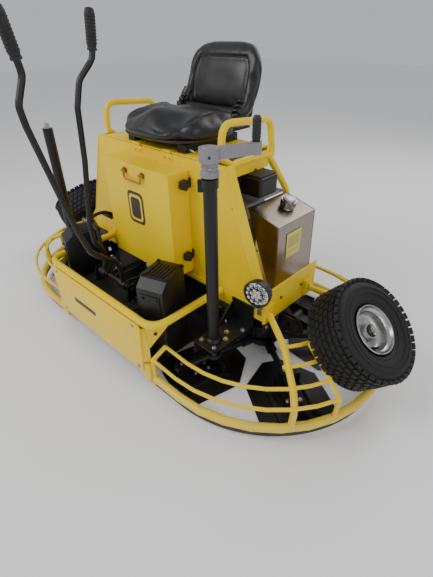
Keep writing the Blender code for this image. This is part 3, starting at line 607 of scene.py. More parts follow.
def make_seat():
    """Cushion and backrest from cloth simulations, then seams, piping, pleats and the base edge."""
    form = rounded_form((0.222, 0.186, 0.036), 5.0, 2.9)
    pan = inflate(form, lambda p: p.z < -0.012, 0.024)
    pan = shape_pan(relax(pan, 22))
    low_z = min(vert.co.z for vert in pan.vertices)
    pan.transform(Matrix.Translation((PAN_CENTRE.x, PAN_CENTRE.y, 0.8262 - low_z)))
    cushion = seat_pad("seat_pan_pad", pan, "seat_cushion")

    form = rounded_form((1.0, 0.026, 0.126), 6.0, 4.0, 12)
    form.transform(Matrix.Diagonal((0.19, 1, 1, 1)))
    back = inflate(form, lambda p: p.y > 0.008, 0.022)
    back = relax(back, 16)
    back.transform(Matrix.Diagonal((1 / 0.2, 1, 1, 1)))
    shape_back(back)
    rest = seat_pad("seat_back_pad", back, "seat_back")

    tree = tree_of(rest)
    run = []
    height = BACK_TOP_Z - BACK_FOOT_Z
    for k in range(40):
        a = k / 39
        if a < 0.36:
            t = 0.12 + (a / 0.36) * 0.6
            x = -(back_width(t) - BACK_BORDER)
        elif a > 0.64:
            t = 0.12 + ((1 - a) / 0.36) * 0.6
            x = back_width(t) - BACK_BORDER
        else:
            s = (a - 0.36) / 0.28
            turn = pi * (1 - s)
            t = 0.72 + 0.075 * sin(turn) ** 0.5
            edge = back_width(0.72) - BACK_BORDER
            x = copysign(abs(cos(turn)) ** 0.45, cos(turn)) * edge
        point = on_surface(tree, (x, -0.3, BACK_FOOT_Z + t * height), (0, 1, 0), 0.0006)
        if point:
            run.append(point)
    piece("seat_back_piping", tube(run, 0.0024, 2), "black_vinyl", SEAT)

    tree = tree_of(cushion)
    lines = []
    for way in (-1, 1):
        side = [on_surface(tree, (way * SIDE_SEAM_X, y / 100, 1.2), (0, 0, -1), 0.0004)
                for y in range(-9, 17, 2)]
        lines.append(tube([p for p in side if p], 0.0015, 2))
    arch = [on_surface(tree, (x / 100, arch_seam(x / 100), 1.2), (0, 0, -1), 0.0004)
            for x in range(-16, 17, 2)]
    lines.append(tube([p for p in arch if p], 0.0015, 2))
    piece("seat_pan_seams", joined(*lines), "black_vinyl", SEAT)

    rim = []
    for k in range(56):
        a = 2 * pi * k / 56
        c, s = cos(a), sin(a)
        reach = (abs(c) ** 2.9 + abs(s) ** 2.9) ** (-1 / 2.9)
        rim.append((0.205 * c * reach, 0.002 + 0.17 * s * reach, 0.832))
    piece("seat_pan_edge", tube(rim, 0.0055, 3, closed=True), PLASTIC, SEAT)

    pleats = []
    for way in (-1, 1):
        for k in range(3):
            base = Vector((way * (0.166 - 0.001 * k), 0.158 + 0.014 * k, 0.89 + 0.015 * k))
            across = Vector((way * 0.017, 0.006, -0.002))
            pleats.append(tube([base - across, base + Vector((0, -0.006, 0.01)), base + across], 0.006, 3))
        web = [(way * 0.14, 0.16, 0.866), (way * 0.168, 0.182, 0.884), (way * 0.178, 0.206, 0.912),
               (way * 0.172, 0.226, 0.944)]
        pleats.append(tube(web, 0.024, 4))
    piece("seat_corner_pleats", joined(*pleats), "black_vinyl", SEAT)
    roll = [(-0.178, 0.19, 0.88), (-0.09, 0.196, 0.874), (0, 0.198, 0.872), (0.09, 0.196, 0.874),
            (0.178, 0.19, 0.88)]
    piece("seat_rear_roll", tube(roll, 0.026, 5), "black_vinyl", SEAT)

    struts = []
    for way in (-1, 1):
        struts.append(box_mesh(way * 0.135 - 0.014, way * 0.135 + 0.014, 0.15, 0.262, 0.824, 0.829, 0.001))
        struts.append(tube([(way * 0.135, 0.245, 0.826), (way * 0.135, 0.272, 0.85),
                            (way * 0.135, 0.288, 0.93)], 0.007, 3))
    shell = box_mesh(-0.15, 0.15, 0.15, 0.262, 0.8195, 0.824, 0.001)
    piece("seat_back_struts", joined(*struts, shell), POWDER, SEAT)
    lever = tube([(0.16, -0.1, 0.808), (0.195, -0.118, 0.81), (0.222, -0.122, 0.806)], 0.004, 3)
    piece("seat_slide_lever", lever, ZINC, SEAT)


# ---- wheels ----
TREAD_COUNT = 40
TREAD_ROWS = ((0.0, 0.0085, 0.0), (0.0215, 0.0085, 0.5), (-0.0215, 0.0085, 0.5), (0.043, 0.0085, 0.0),
              (-0.043, 0.0085, 0.0))


def tyre_mesh():
    """Turf tyre about +Z: smooth carcass, tread blocks and shoulder lugs."""
    section = [(0.0865, -0.05), (0.096, -0.061), (0.112, -0.069), (0.134, -0.075), (0.152, -0.0745),
               (0.165, -0.069), (0.174, -0.058), (0.1785, -0.04), (0.18, -0.015)]
    section += [(radius, -height) for radius, height in reversed(section)]
    section += [(0.084, 0.038), (0.084, -0.038)]
    parts = [lathe(section, 72)]
    for side in (-1, 1):
        for radius, height in ((0.104, 0.0655), (0.128, 0.074), (0.1455, 0.0752)):
            ring = [(radius + 0.0018 * cos(a), side * height + 0.0018 * sin(a))
                    for a in (pi * k / 4 for k in range(8))]
            parts.append(lathe(ring, 72))
    for k in range(TREAD_COUNT):
        for height, half, offset in TREAD_ROWS:
            a = 2 * pi * (k + offset) / TREAD_COUNT
            lift = 0.185 - 0.003 * (height / 0.043) ** 2
            block = box_mesh(0.1745, lift, -0.0108, 0.0108, height - half, height + half, 0.0012)
            block.transform(Matrix.Rotation(a, 4, "Z"))
            parts.append(block)
            if abs(height) < 0.03:
                sipe = box_mesh(0.1745, lift - 0.0012, -0.002, 0.002, height + half - 0.001,
                                height + 0.0215 - half)
                sipe.transform(Matrix.Rotation(a + pi / TREAD_COUNT, 4, "Z"))
                parts.append(sipe)
        for side in (-1, 1):
            a = 2 * pi * (k + 0.5) / TREAD_COUNT
            lug = box_mesh(-0.0055, 0.0055, -0.0112, 0.0112, -0.0125, 0.0125, 0.0016)
            lug.transform(Matrix.Rotation(a, 4, "Z") @ Matrix.Translation((0.1725, 0, side * 0.0605))
                          @ Matrix.Rotation(side * radians(46), 4, "Y"))
            parts.append(lug)
    return joined(*parts)


def rim_mesh():
    """Pressed steel rim about +Z, its dished face outward."""
    front = [(0.0135, 0.047), (0.0165, 0.049), (0.0165, 0.036), (0.0225, 0.036), (0.0225, 0.043),
             (0.0265, 0.044), (0.0285, 0.041), (0.0285, 0.02), (0.034, 0.015), (0.05, 0.013),
             (0.06, 0.016), (0.066, 0.022), (0.07, 0.034), (0.0712, 0.046), (0.077, 0.051),
             (0.0795, 0.056), (0.082, 0.0625), (0.085, 0.0635), (0.0868, 0.0615), (0.0862, 0.056),
             (0.0815, 0.05), (0.08, 0.038)]
    back = [(0.08, -0.038), (0.0815, -0.05), (0.0862, -0.056), (0.0868, -0.0615), (0.085, -0.0635),
            (0.082, -0.0625), (0.077, -0.051), (0.0712, -0.046), (0.069, -0.01), (0.066, 0.004),
            (0.05, 0.007), (0.03, 0.008), (0.026, -0.04), (0.0135, -0.04)]
    return lathe(front + back, 72)


def make_wheels():
    """Tyres and rims in place of the CAD ones, with seal, valve, axle nut and arm quadrant."""
    for name, _ in SIDES:
        body = "wheel_" + name
        tyre = placed(tyre_mesh(), *WHEEL_FRAME)
        sided(name, "tyre_turf", tyre, "tyre", body, ("tyre_" + name,), 32)
        rim = placed(rim_mesh(), *WHEEL_FRAME)
        sided(name, "rim_pressed", rim, ZINC, body, ("wheel_rim_" + name,), 30)
        seal = lathe([(0.0168, 0.04), (0.0222, 0.04), (0.0222, 0.0425), (0.0168, 0.0425)], 36)
        placed(seal, *WHEEL_FRAME)
        sided(name, "bearing_seal", seal, PLASTIC, body, look="dark_steel")
        stem = lathe([(0, 0), (0.0058, 0), (0.0052, 0.01), (0.004, 0.012), (0.004, 0.024), (0, 0.0245)], 16)
        placed(stem, (0.058, -0.012, 0.015))
        seat = lathe([(0, 0.0001), (0.0085, 0.0001), (0.008, 0.0018), (0, 0.0018)], 20)
        placed(seat, (0.058, -0.012, 0.0152))
        valve = placed(joined(stem, seat), *WHEEL_FRAME)
        sided(name, "tyre_valve", valve, PLASTIC, body)
        cap = placed(hex_bolt(0.0085), WHEEL_CENTRE + WHEEL_AIM * 0.0502, WHEEL_AIM)
        sided(name, "axle_nut", cap, ZINC, "wheel_arm_" + name)
        sided(name, "arm_quadrant", make_quadrant(), POWDER, look="dark_steel")


def make_quadrant():
    """Latch plate with studs beside the wheel arm's pivot."""
    outline = [Vector((0.585, 0.246)), Vector((0.65, 0.246))]
    for k in range(9):
        a = radians(62 - 14 * k)
        outline.append(Vector((0.618 + 0.066 * cos(a), 0.214 + 0.05 * sin(a))))
    outline.append(Vector((0.592, 0.18)))
    plate = extruded([(p.x, -0.034, p.y) for p in outline], (0, -0.004, 0))
    studs = []
    for k in range(5):
        a = radians(48 - 22 * k)
        place = (0.618 + 0.052 * cos(a), -0.038, 0.214 + 0.04 * sin(a))
        studs.append(placed(socket_bolt(0.0048), place, (0, -1, 0)))
    return joined(plate, *studs)


# ---- lamp, tank and cover ----
def around(radius, count, start=0):
    """Evenly spaced points on a circle, the first at a start angle in degrees."""
    turns = [radians(360 / count * k + start) for k in range(count)]
    return [(radius * cos(a), radius * sin(a)) for a in turns]


def make_lamp():
    """LED work lamp: bezel, reflector cups, phosphor dots, cooling fins and yoke bolts."""
    bezel = lathe([(0.0448, 0.003), (0.05, 0.003), (0.0506, 0.008), (0.048, 0.0112), (0.0455, 0.0105),
                   (0.0448, 0.0075)], 48)
    piece("lamp_bezel", placed(bezel, *LAMP_FRAME), PLASTIC, "lamp")
    cups, dots = [lathe([(0, 0.0102), (0.044, 0.0042), (0.044, 0.0052), (0, 0.0108)], 48)], []
    for x, y in [(0.0, 0.0)] + around(0.0165, 6) + around(0.033, 12, 15):
        spot = (x, y, 0.0106 - 0.006 * hypot(x, y) / 0.044)
        cup = [(0.0035, 0), (0.007, 0.0026), (0.0076, 0.0026), (0.0076, -0.001), (0.0035, -0.001)]
        dot = [(0, -0.0005), (0.003, -0.0005), (0.0024, 0.0016), (0, 0.0022)]
        cups.append(placed(lathe(cup, 14), spot))
        dots.append(placed(lathe(dot, 10), spot))
    piece("lamp_reflector", placed(joined(*cups), *LAMP_FRAME), ZINC, "lamp", look="reflector")
    piece("lamp_diodes", placed(joined(*dots), *LAMP_FRAME), ZINC, "lamp", look="led")
    fins = []
    for k in range(-3, 4):
        x, reach = 0.0105 * k, sqrt(0.036 ** 2 - (0.0105 * k) ** 2)
        fins.append(box_mesh(x - 0.0014, x + 0.0014, -reach, reach, -0.04, -0.016, 0.0008))
    piece("lamp_fins", placed(joined(*fins), *LAMP_FRAME), POWDER, "lamp")
    yoke = joined(placed(hex_bolt(0.006), (0.5625, -0.1436, 0.3), (0, -1, 0)),
                  box_mesh(0.55, 0.586, -0.196, -0.16, 0.352, 0.3552, 0.001),
                  placed(hex_bolt(0.0065), (0.572, -0.183, 0.3475), (0, 0, -1)))
    piece("lamp_yoke", yoke, ZINC)


def slab(centre, right, up, out, half_w, half_h, depth, corner):
    """Thin rounded plate standing on a flat face."""
    points = []
    for k in range(24):
        a = 2 * pi * (k + 0.5) / 24
        x = copysign(half_w - corner, cos(a)) + corner * cos(a)
        y = copysign(half_h - corner, sin(a)) + corner * sin(a)
        points.append(centre + right * x + up * y)
    return extruded(points, out * depth)


def make_labels():
    """Blank plates where the machine carries badges: plain shapes with no lettering."""
    right, up, out = Vector((1, 0, 0)), Vector((0, 0, 1)), Vector((0, -1, 0))
    front = Vector((-0.01, COVER_FRONT - 0.0002, 0.575))
    layers = (("cover_badge", 0.0, 0.05, 0.066, 0.0012, 0.022, PLASTIC, "label_ink"),
              ("cover_badge_field", 0.0012, 0.04, 0.054, 0.0006, 0.018, "yellow_paint", None),
              ("cover_badge_core", 0.0018, 0.03, 0.043, 0.0006, 0.014, PLASTIC, "label_ink"))
    for name, lift, wide, high, thick, corner, slot, look in layers:
        plate = slab(front + out * lift, right, up, out, wide, high, thick, corner)
        piece(name, plate, slot, "cover", look=look)
    panel = Vector((-0.075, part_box("front_panel")[0][1] - 0.0002, 0.205))
    piece("panel_badge", slab(panel, right, up, out, 0.082, 0.01, 0.0008, 0.004), PLASTIC,
          look="label_ink")
    side, face = Vector((0, 1, 0)), Vector((1, 0, 0))
    tank = Vector((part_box("fuel_tank")[1][0] + 0.0006, 0.132, 0.455))
    tilt = Vector((0.497 - 0.492, 0, -0.27)).normalized()
    piece("tank_label", slab(tank - Vector((0.003, 0, 0)), side, -tilt, face, 0.048, 0.052, 0.0012, 0.003),
          "stainless_sheet", look="label_yellow")
    stripes = [slab(tank + Vector((-0.0017, 0, -0.03 - 0.01 * k)), side, -tilt, face, 0.038 - 0.006 * k,
                    0.0026, 0.0005, 0.001) for k in range(2)]
    stripes.append(slab(tank + Vector((-0.0019, 0, 0.012)), side, -tilt, face, 0.036, 0.022, 0.0004, 0.003))
    piece("tank_label_print", joined(*stripes), "stainless_sheet", look="label_print")


def make_tank_detail():
    """Weld beads, the neck collar, the shelf bolts and the cap's crown."""
    beads = [bar([(0.345, y, 0.5905), (0.492, y, 0.5515), (0.4975, y, 0.3)], 0.0014, 2)
             for y in TANK_ENDS_Y]
    beads.append(bar([(0.4925, y, 0.552) for y in TANK_ENDS_Y], 0.0014, 2))
    collar = lathe([(0.0235, 0.0), (0.0285, 0.0), (0.0265, 0.0032), (0.0235, 0.0036)], 40)
    beads.append(placed(collar, TANK_NECK, TANK_NECK_AXIS))
    piece("tank_welds", joined(*beads), "stainless_sheet")
    bolts("shelf_bolts", [((0.268, y, 0.605), (0, 0, 1)) for y in (0.03, 0.13, 0.235)], 0.0055)
    ridge = lathe([(0.0245, 0.0), (0.0258, 0.001), (0.0258, 0.003), (0.0245, 0.004)], 32)
    placed(ridge, TANK_NECK + TANK_NECK_AXIS * (0.0106 + 0.0235), TANK_NECK_AXIS)
    dome = lathe([(0, 0.0), (0.0215, 0.0), (0.019, 0.0026), (0, 0.0036)], 32)
    placed(dome, TANK_NECK + TANK_NECK_AXIS * (0.0106 + 0.0289), TANK_NECK_AXIS)
    piece("cap_crown", joined(ridge, dome), ZINC, "cap")


def make_cover_detail():
    """Bail feet, knob crowns, deck hinge leaves, side plate bolts, cowl edges and latch plates."""
    feet = []
    for x in (-0.054, 0.054):
        feet.append(slab(Vector((x, COVER_FRONT - 0.0002, 0.717)), Vector((1, 0, 0)), Vector((0, 0, 1)),
                         Vector((0, -1, 0)), 0.014, 0.009, 0.0016, 0.004))
        feet.append(placed(socket_bolt(0.0034), (x, COVER_FRONT - 0.0018, 0.7275), (0, -1, 0)))
    piece("bail_feet", joined(*feet), "bronze_plating", "cover")
    caps = [placed(lathe([(0, 0), (0.0105, 0), (0.0085, 0.0022), (0, 0.0028)], 24), (0.2246, -0.175, z),
                   (1, 0, 0)) for z in LATCH_HEIGHTS]
    piece("knob_crowns", joined(*caps), PLASTIC, "cover")
    leaves = [box_mesh(x - 0.026, x + 0.026, -0.1405, -0.1382, 0.758, 0.786, 0.0006) for x in HINGE_X]
    piece("hinge_leaves", joined(*leaves), "yellow_paint")
    spots = [((x + dx, -0.1405, 0.768), (0, -1, 0)) for x in HINGE_X for dx in (-0.015, 0.015)]
    bolts("hinge_screws", spots, 0.0042, kind=socket_bolt)
    spots = [((0.5782, -0.046, 0.324), (1, 0, 0)), ((0.5782, 0.087, 0.318), (1, 0, 0))]
    spots += [((-x, y, z), (-1, 0, 0)) for (x, y, z), _ in spots]
    bolts("side_plate_bolts", spots, 0.0062, POWDER, kind=socket_bolt, look="dark_steel")
    edge = [bar([(way * 0.3735, -0.1355, 0.782), (way * 0.564, -0.1355, 0.286)], 0.0052, 3)
            for way in (-1, 1)]
    piece("cowl_edges", joined(*edge), "yellow_paint")
    latch = [box_mesh(0.2045, 0.211, -0.1445, -0.1386, z - 0.018, z + 0.018, 0.001) for z in LATCH_HEIGHTS]
    piece("cover_latch_plates", joined(*latch), POWDER)


# ---- footwell, posts and linkage ----
def coil(start, end, radius, wire, turns):
    """Helical spring between two points."""
    start, end = Vector(start), Vector(end)
    count = turns * 12
    points = [(radius * cos(2 * pi * turns * k / count), radius * sin(2 * pi * turns * k / count),
               (end - start).length * k / count) for k in range(count + 1)]
    return placed(bar(points, wire, 2), start, end - start)


def rod_end(place, axis, size):
    """Spherical rod end."""
    ring = lathe([(size * 0.55, -size * 0.4), (size, -size * 0.4), (size * 1.1, 0), (size, size * 0.4),
                  (size * 0.55, size * 0.4)], 24)
    ball = lathe([(0, -size * 0.6), (size * 0.35, -size * 0.6), (size * 0.52, 0), (size * 0.35, size * 0.6),
                  (0, size * 0.6)], 20)
    return placed(joined(ring, ball), place, axis)


def make_footwell():
    """Foot pedestal lids, floor tread, panel bolts, control links and springs, foot control."""
    for name, way in SIDES:
        lid = box_mesh(-0.003, 0.111, -0.118, 0.003, 0.4448, 0.45, 0.0014)
        front = box_mesh(0.014, 0.094, -0.1548, -0.1524, 0.19, 0.395, 0.0008)
        ribs = [box_mesh(0.012 + 0.014 * k, 0.02 + 0.014 * k, -0.108, -0.02, 0.45, 0.4528, 0.0008)
                for k in range(6)]
        parts = [lid, front, *ribs]
        heads = [placed(hex_bolt(0.0052), (x, y, 0.4502), (0, 0, 1)) for x in (0.006, 0.102)
                 for y in (-0.11, -0.006)]
        heads += [placed(hex_bolt(0.0046), (x, -0.1548, z), (0, -1, 0)) for x in (0.026, 0.082)
                  for z in (0.205, 0.38)]
        for mesh in parts + heads:
            mesh.transform(Matrix.Translation(PEDESTAL_CORNER) @ Matrix.Rotation(PEDESTAL_TURN, 4, "Z"))
        sided(name, "pedestal_lid", joined(*parts), POWDER)
        sided(name, "pedestal_bolts", joined(*heads), POWDER, look="dark_steel")
        pads = []
        for row in range(7):
            for col in range(5):
                x, y = 0.06 + 0.026 * col, -0.33 + 0.026 * row
                stud = box_mesh(-0.0085, 0.0085, -0.0022, 0.0022, 0, 0.0016, 0.0005)
                pads.append(placed(stud, (x, y, 0.129), None, 45 if (row + col) % 2 else -45))
        sided(name, "floor_tread", joined(*pads), POWDER)
    front_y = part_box("front_panel")[0][1]
    spots = [((x, front_y, z), (0, -1, 0)) for x in (-0.275, 0.275) for z in (0.1, 0.294)]
    bolts("panel_bolts", spots, 0.0052)
    make_gussets()
    y, z = LEVER_AXIS
    links, springs = [], []
    for way in (-1, 1):
        x = way * 0.03
        start, end = (x, y + 0.03, z - 0.016), (x + way * 0.02, -0.17, z - 0.03)
        links.append(bar([start, end], 0.0048, 3))
        links.append(rod_end(start, (1, 0, 0), 0.011))
        links.append(rod_end(end, (1, 0, 0), 0.011))
        near, far = (way * 0.135, y - 0.01, z - 0.04), (way * 0.15, -0.25, z - 0.07)
        springs.append(coil(near, far, 0.011, 0.0018, 11))
        links.append(bar([near, (way * 0.135, y - 0.02, z - 0.052)], 0.003, 2))
        links.append(bar([far, (way * 0.168, -0.16, 0.236)], 0.003, 2))
        for dx in (-0.024, 0.024):
            ring = lathe([(0.0092, -0.003), (0.015, -0.003), (0.015, 0.003), (0.0092, 0.003)], 28)
            links.append(placed(ring, (way * 0.07 + dx, y, z), (1, 0, 0)))
    piece("control_links", joined(*links), POWDER, look="dark_steel")
    piece("control_springs", joined(*springs), POWDER, look="dark_steel")
    pedal = tube([(-0.255, -0.205, 0.47), (-0.258, -0.25, 0.49), (-0.245, -0.32, 0.482),
                  (-0.168, -0.34, 0.458), (-0.15, -0.345, 0.283)], 0.0075, 3)
    pedal = joined(pedal, box_mesh(-0.3, -0.225, -0.232, -0.196, 0.46, 0.466, 0.0015))
    piece("foot_control", pedal, POWDER)


def make_gussets():
    """Triangular plates between the front panel's ends and the foot rail."""
    corners = (Vector((0.328, -0.492, 0.3)), Vector((0.367, -0.41, 0.3)), Vector((0.331, -0.486, 0.206)))
    across = (corners[1] - corners[0]).cross(corners[2] - corners[0]).normalized()
    plate = extruded(corners, across * GUSSET_SHEET)
    outward = across if across.x > 0 else -across
    middle = (corners[0] + corners[1] + corners[2]) / 3 + outward * GUSSET_SHEET
    stud = placed(socket_bolt(0.0065), middle, outward)
    for name, _ in SIDES:
        sided(name, "corner_gusset", plate, "yellow_paint")
        sided(name, "gusset_bolt", stud, POWDER, look="dark_steel")


def make_posts():
    """Flange bolts, post collars, and the crank's crown, a black disc of painted shade for the pin hole,
    and grip ribs.
    """
    x, y = POST
    for name, way in SIDES:
        spots = [((way * px, py, 0.2255), (0, 0, 1)) for px, py in FLANGE_BOLTS]
        bolts("flange_bolts_" + name, spots, 0.0068)
        collar = [(0.0212, 0.2258), (0.031, 0.2258), (0.031, 0.23), (0.025, 0.238), (0.0212, 0.24)]
        rings = [lathe(collar, 40)]
        if name == "left":
            rings.append(lathe([(0.0212, 0.79), (0.025, 0.792), (0.025, 0.818), (0.0212, 0.82)], 40))
            rings.append(placed(box_mesh(-0.006, 0.006, -0.036, -0.022, 0.776, 0.812, 0.001), spin=-60))
        rings = [placed(mesh, (x, y, 0)) for mesh in rings]
        sided(name, "post_collars", joined(*rings), POWDER)
    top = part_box("crank_head")[0][2]
    detail = [placed(lathe([(0, 0), (0.0235, 0), (0.0215, 0.0022), (0, 0.003)], 36), (x, y, top + 0.078))]
    detail.append(placed(lathe([(0.0226, 0.0), (0.0242, 0.0012), (0.0242, 0.0048), (0.0226, 0.006)], 36),
                         (x, y, top + 0.0235)))
    piece("crank_crown", joined(*detail), "grey_casting", "crank")
    # Painted shade: a flat black disc stands for the pin hole's dark inside; no hole is cut.
    hole = placed(lathe([(0, 0), (0.0042, 0), (0.0042, 0.0012), (0, 0.0012)], 18),
                  (x + 0.021, y - 0.0215, top + 0.058), (0.7, -0.7, 0))
    piece("crank_pin_hole_painted_shade", hole, PLASTIC, "crank", look="label_ink")
    rib = [(0.0118, -0.0016), (0.013, -0.001), (0.013, 0.001), (0.0118, 0.0016)]
    foot = top + 0.0796
    ribs = [placed(lathe(rib, 24), (0.537, -0.18, foot + 0.012 + 0.01 * k)) for k in range(5)]
    piece("crank_grip_ribs", joined(*ribs), "grip_rubber", "crank_handle")


GRIP_RUNS = {"left": (Vector((0.07, -0.586, 1.072)), Vector((0.07, -0.5985, 1.155))),
             "right": (Vector((-0.07, -0.287, 1.09)), Vector((-0.07, -0.279, 1.16)))}


def make_grips():
    """Raised ribs and a collar round each lever's hand grip."""
    for name, (before, end) in GRIP_RUNS.items():
        along = (end - before).normalized()
        start = end - along * 0.042
        rings = []
        for k in range(9):
            ring = lathe([(0.016, -0.0022), (0.0176, -0.0012), (0.0176, 0.0012), (0.016, 0.0022)], 28)
            rings.append(placed(ring, start + along * (0.014 + 0.0088 * k), along))
        piece("grip_ribs_" + name, joined(*rings), "grip_rubber", "lever_" + name)
        collar = lathe([(0.0106, 0), (0.015, 0), (0.016, 0.004), (0.015, 0.008), (0.0106, 0.008)], 28)
        piece("lever_collar_" + name, placed(collar, start - along * 0.0075, along), "grip_rubber",
              "lever_" + name)


# ---- under the guard ----
GUARD_STEPS = 40


def guard_path(radius):
    """Points along the guard's outside: round the left, along the rear, round the right."""
    points = [Vector((0.334, -radius, 0))]
    for k in range(GUARD_STEPS + 1):
        a = radians(-90 + 180 * k / GUARD_STEPS)
        points.append(Vector((ROTOR_X + radius * cos(a), radius * sin(a), 0)))
    for k in range(GUARD_STEPS + 1):
        a = radians(90 + 180 * k / GUARD_STEPS)
        points.append(Vector((-ROTOR_X + radius * cos(a), radius * sin(a), 0)))
    points.append(Vector((-0.334, -radius, 0)))
    return points


def make_painted_guard_shadow():
    """Painted shadow: a thin black strip below the guard ring, standing for the ring's shadow on the floor.
    """
    inner, outer = guard_path(0.4805), guard_path(0.484)
    bm = bmesh.new()
    rows = []
    for a, b in zip(inner, outer):
        rows.append([bm.verts.new((a.x, a.y, 0.016)), bm.verts.new((b.x, b.y, 0.016)),
                     bm.verts.new((b.x, b.y, 0.044)), bm.verts.new((a.x, a.y, 0.044))])
    for one, two in zip(rows, rows[1:]):
        for k in range(4):
            j = (k + 1) % 4
            bm.faces.new((one[k], one[j], two[j], two[k]))
    bm.faces.new(rows[0])
    bm.faces.new(rows[-1])
    # The strip is painted shadow, black where the guard ring's shadow falls on the floor.
    piece("guard_painted_shadow", to_mesh(bm), "grip_rubber", look="painted_guard_shadow_look")


def make_rotors():
    """Blade bolts and bars, gearbox fins and bolts, thrust plates and the cross frames above."""
    for name, way in SIDES:
        for k in range(BLADES):
            angle = FIRST_BLADE + BLADE_STEP * k
            tag = "%s_%d" % (name, k + 1)
            heads = [placed(hex_bolt(0.0075), (r, y, 0.022), (0, 0, 1)) for r in (0.285, 0.345)
                     for y in (-0.018, 0.018)]
            heads += [placed(hex_bolt(0.006), (r, 0.0, 0.0822), (0, 0, 1)) for r in (0.25, 0.395)]
            detail = placed(joined(*heads), ROTOR_PLACE, None, angle)
            body = "blade_" + tag
            piece("blade_bolts_" + tag, mirrored(detail, name), ZINC, body)
            bars = joined(box_mesh(0.23, 0.418, 0.06, 0.078, 0.0038, 0.012, 0.001),
                          box_mesh(0.23, 0.418, -0.078, -0.06, 0.0038, 0.012, 0.001),
                          box_mesh(0.236, 0.246, 0.022, 0.07, 0.0038, 0.05, 0.001))
            placed(bars, ROTOR_PLACE, None, angle)
            piece("blade_bars_" + tag, mirrored(bars, name), POWDER, body)
        fins = [placed(box_mesh(0.094, 0.108, -0.003, 0.003, 0.118, 0.168, 0.001), spin=30 * k + 15)
                for k in range(12)]
        heads = [placed(hex_bolt(0.006), (x, y, 0.195), (0, 0, 1)) for x, y in around(0.074, 12, 15)]
        fins.append(lathe([(0.08, 0.172), (0.112, 0.172), (0.112, 0.18), (0.08, 0.186)], 40))
        sided(name, "gearbox_fins", placed(joined(*fins), ROTOR_PLACE), POWDER, "gearbox_" + name)
        sided(name, "gearbox_bolts", placed(joined(*heads), ROTOR_PLACE), ZINC, "gearbox_" + name)
        plate = lathe([(0.064, 0.086), (0.092, 0.086), (0.092, 0.094), (0.064, 0.094)], 40)
        sided(name, "thrust_plate", placed(plate, ROTOR_PLACE), POWDER, "rotor_" + name, look="dark_steel")
        cross = [box_mesh(0.36, 0.566, y - 0.018, y + 0.018, 0.236, 0.2735, 0.002) for y in (-0.105, 0.15)]
        cross.append(box_mesh(0.5665, 0.5715, -0.14, -0.055, 0.196, 0.248, 0.001))
        sided(name, "under_frame", joined(*cross), POWDER)
        spots = [((way * 0.572, y, 0.222), (way, 0, 0)) for y in (-0.12, -0.08)]
        bolts("under_frame_bolts_" + name, spots, 0.0065)


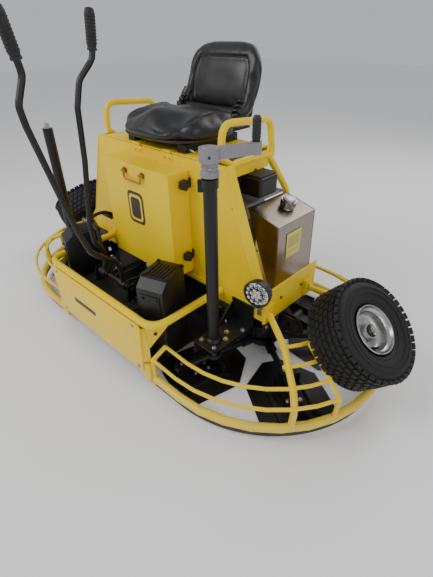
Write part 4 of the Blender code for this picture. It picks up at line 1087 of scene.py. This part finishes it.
# ---- engine ----
def make_engine():
    """Recoil starter, cooling fins, silencer, filter lid, intake duct, wires, bolts and filler neck."""
    shroud = [placed(box_mesh(0.07, 0.1, -0.004, 0.004, 0.0845, 0.0875, 0.0008), spin=20 * k)
              for k in range(18)]
    shroud.append(lathe([(0, 0.085), (0.06, 0.085), (0.056, 0.1), (0, 0.104)], 40))
    shroud.append(lathe([(0.104, 0.0848), (0.112, 0.0848), (0.11, 0.09), (0.105, 0.09)], 48))
    piece("starter_cover", placed(joined(*shroud), STARTER_FACE, (0, 1, 0)), POWDER)
    handle = joined(box_mesh(0.075, 0.135, 0.298, 0.316, 0.62, 0.634, 0.004),
                    bar([(0.105, 0.307, 0.62), (0.098, 0.309, 0.6)], 0.003, 2))
    piece("starter_handle", handle, PLASTIC)
    fins = []
    for k in range(9):
        z = 0.448 + 0.021 * k
        fins.append(box_mesh(-0.241, -0.233, 0.014, 0.226, z, z + 0.005, 0.001))
        fins.append(box_mesh(-0.225, -0.075, 0.229, 0.24, z, z + 0.005, 0.001))
        fins.append(box_mesh(0.085, 0.236, 0.229, 0.24, z, z + 0.005, 0.001))
    piece("cylinder_fins", joined(*fins), POWDER, look="dark_steel")
    drum = lathe([(0, 0), (0.036, 0), (0.042, 0.006), (0.042, 0.176), (0.036, 0.182), (0, 0.182)], 40)
    placed(drum, (SILENCER_X, 0.04, SILENCER_Z), (0, 1, 0))
    pipe = tube([(-0.236, 0.12, 0.47), (-0.27, 0.12, 0.48), (SILENCER_X, 0.12, 0.52)], 0.013, 4)
    tail = tube([(SILENCER_X, 0.215, SILENCER_Z), (SILENCER_X, 0.24, 0.562), (SILENCER_X, 0.262, 0.548)],
                0.012, 4)
    bands = [placed(lathe([(0.042, 0), (0.0436, 0.001), (0.0436, 0.009), (0.042, 0.01)], 40),
                    (SILENCER_X, y, SILENCER_Z), (0, 1, 0)) for y in (0.075, 0.18)]
    piece("silencer", joined(drum, pipe, tail, *bands), POWDER, look="dark_steel")
    lid = joined(box_mesh(0.252, 0.399, 0.026, 0.122, 0.7158, 0.7215, 0.002),
                 placed(lathe([(0, 0), (0.016, 0), (0.013, 0.008), (0, 0.01)], 24), (0.325, 0.074, 0.7215)))
    piece("air_filter_lid", lid, PLASTIC)
    bends = [(0.29, 0.125, 0.69), (0.29, 0.16, 0.69), (0.262, 0.18, 0.66), (0.235, 0.18, 0.61)]
    piece("intake_duct", tube(bends, 0.022, 5), PLASTIC)
    wires = [tube([(0.32, -0.06, 0.735), (0.318, -0.03, 0.706), (0.3, 0.01, 0.65), (0.255, 0.03, 0.64),
                   (0.238, 0.06, 0.63)], 0.0036, 2),
             tube([(0.33, -0.02, 0.728), (0.322, 0.004, 0.7), (0.3, 0.012, 0.668), (0.262, 0.016, 0.655),
                   (0.238, 0.04, 0.618)], 0.003, 2),
             tube([(0.56, -0.134, 0.33), (0.548, -0.12, 0.36), (0.52, -0.118, 0.35), (0.47, -0.118, 0.31),
                   (0.3, -0.11, 0.296), (0.15, -0.06, 0.3)], 0.0032, 2)]
    piece("wiring", joined(*wires), PLASTIC)
    mounts = [placed(hex_bolt(0.008), (x, y, 0.2812), (0, 0, 1)) for x in (-0.18, 0.23)
              for y in (0.0, 0.24)]
    piece("engine_bolts", joined(*mounts), ZINC)
    hoop = placed(lathe([(0.028, -0.01), (0.036, -0.01), (0.036, 0.01), (0.028, 0.01)], 36),
                  (-0.02, -0.06, 0.345), (0, 0, 1))
    piece("filler_neck", hoop, PLASTIC)


set_stage()
dress_frame()
make_seat()
make_wheels()
make_lamp()
make_labels()
make_tank_detail()
make_cover_detail()
make_footwell()
make_posts()
make_grips()
make_painted_guard_shadow()
make_rotors()
make_engine()
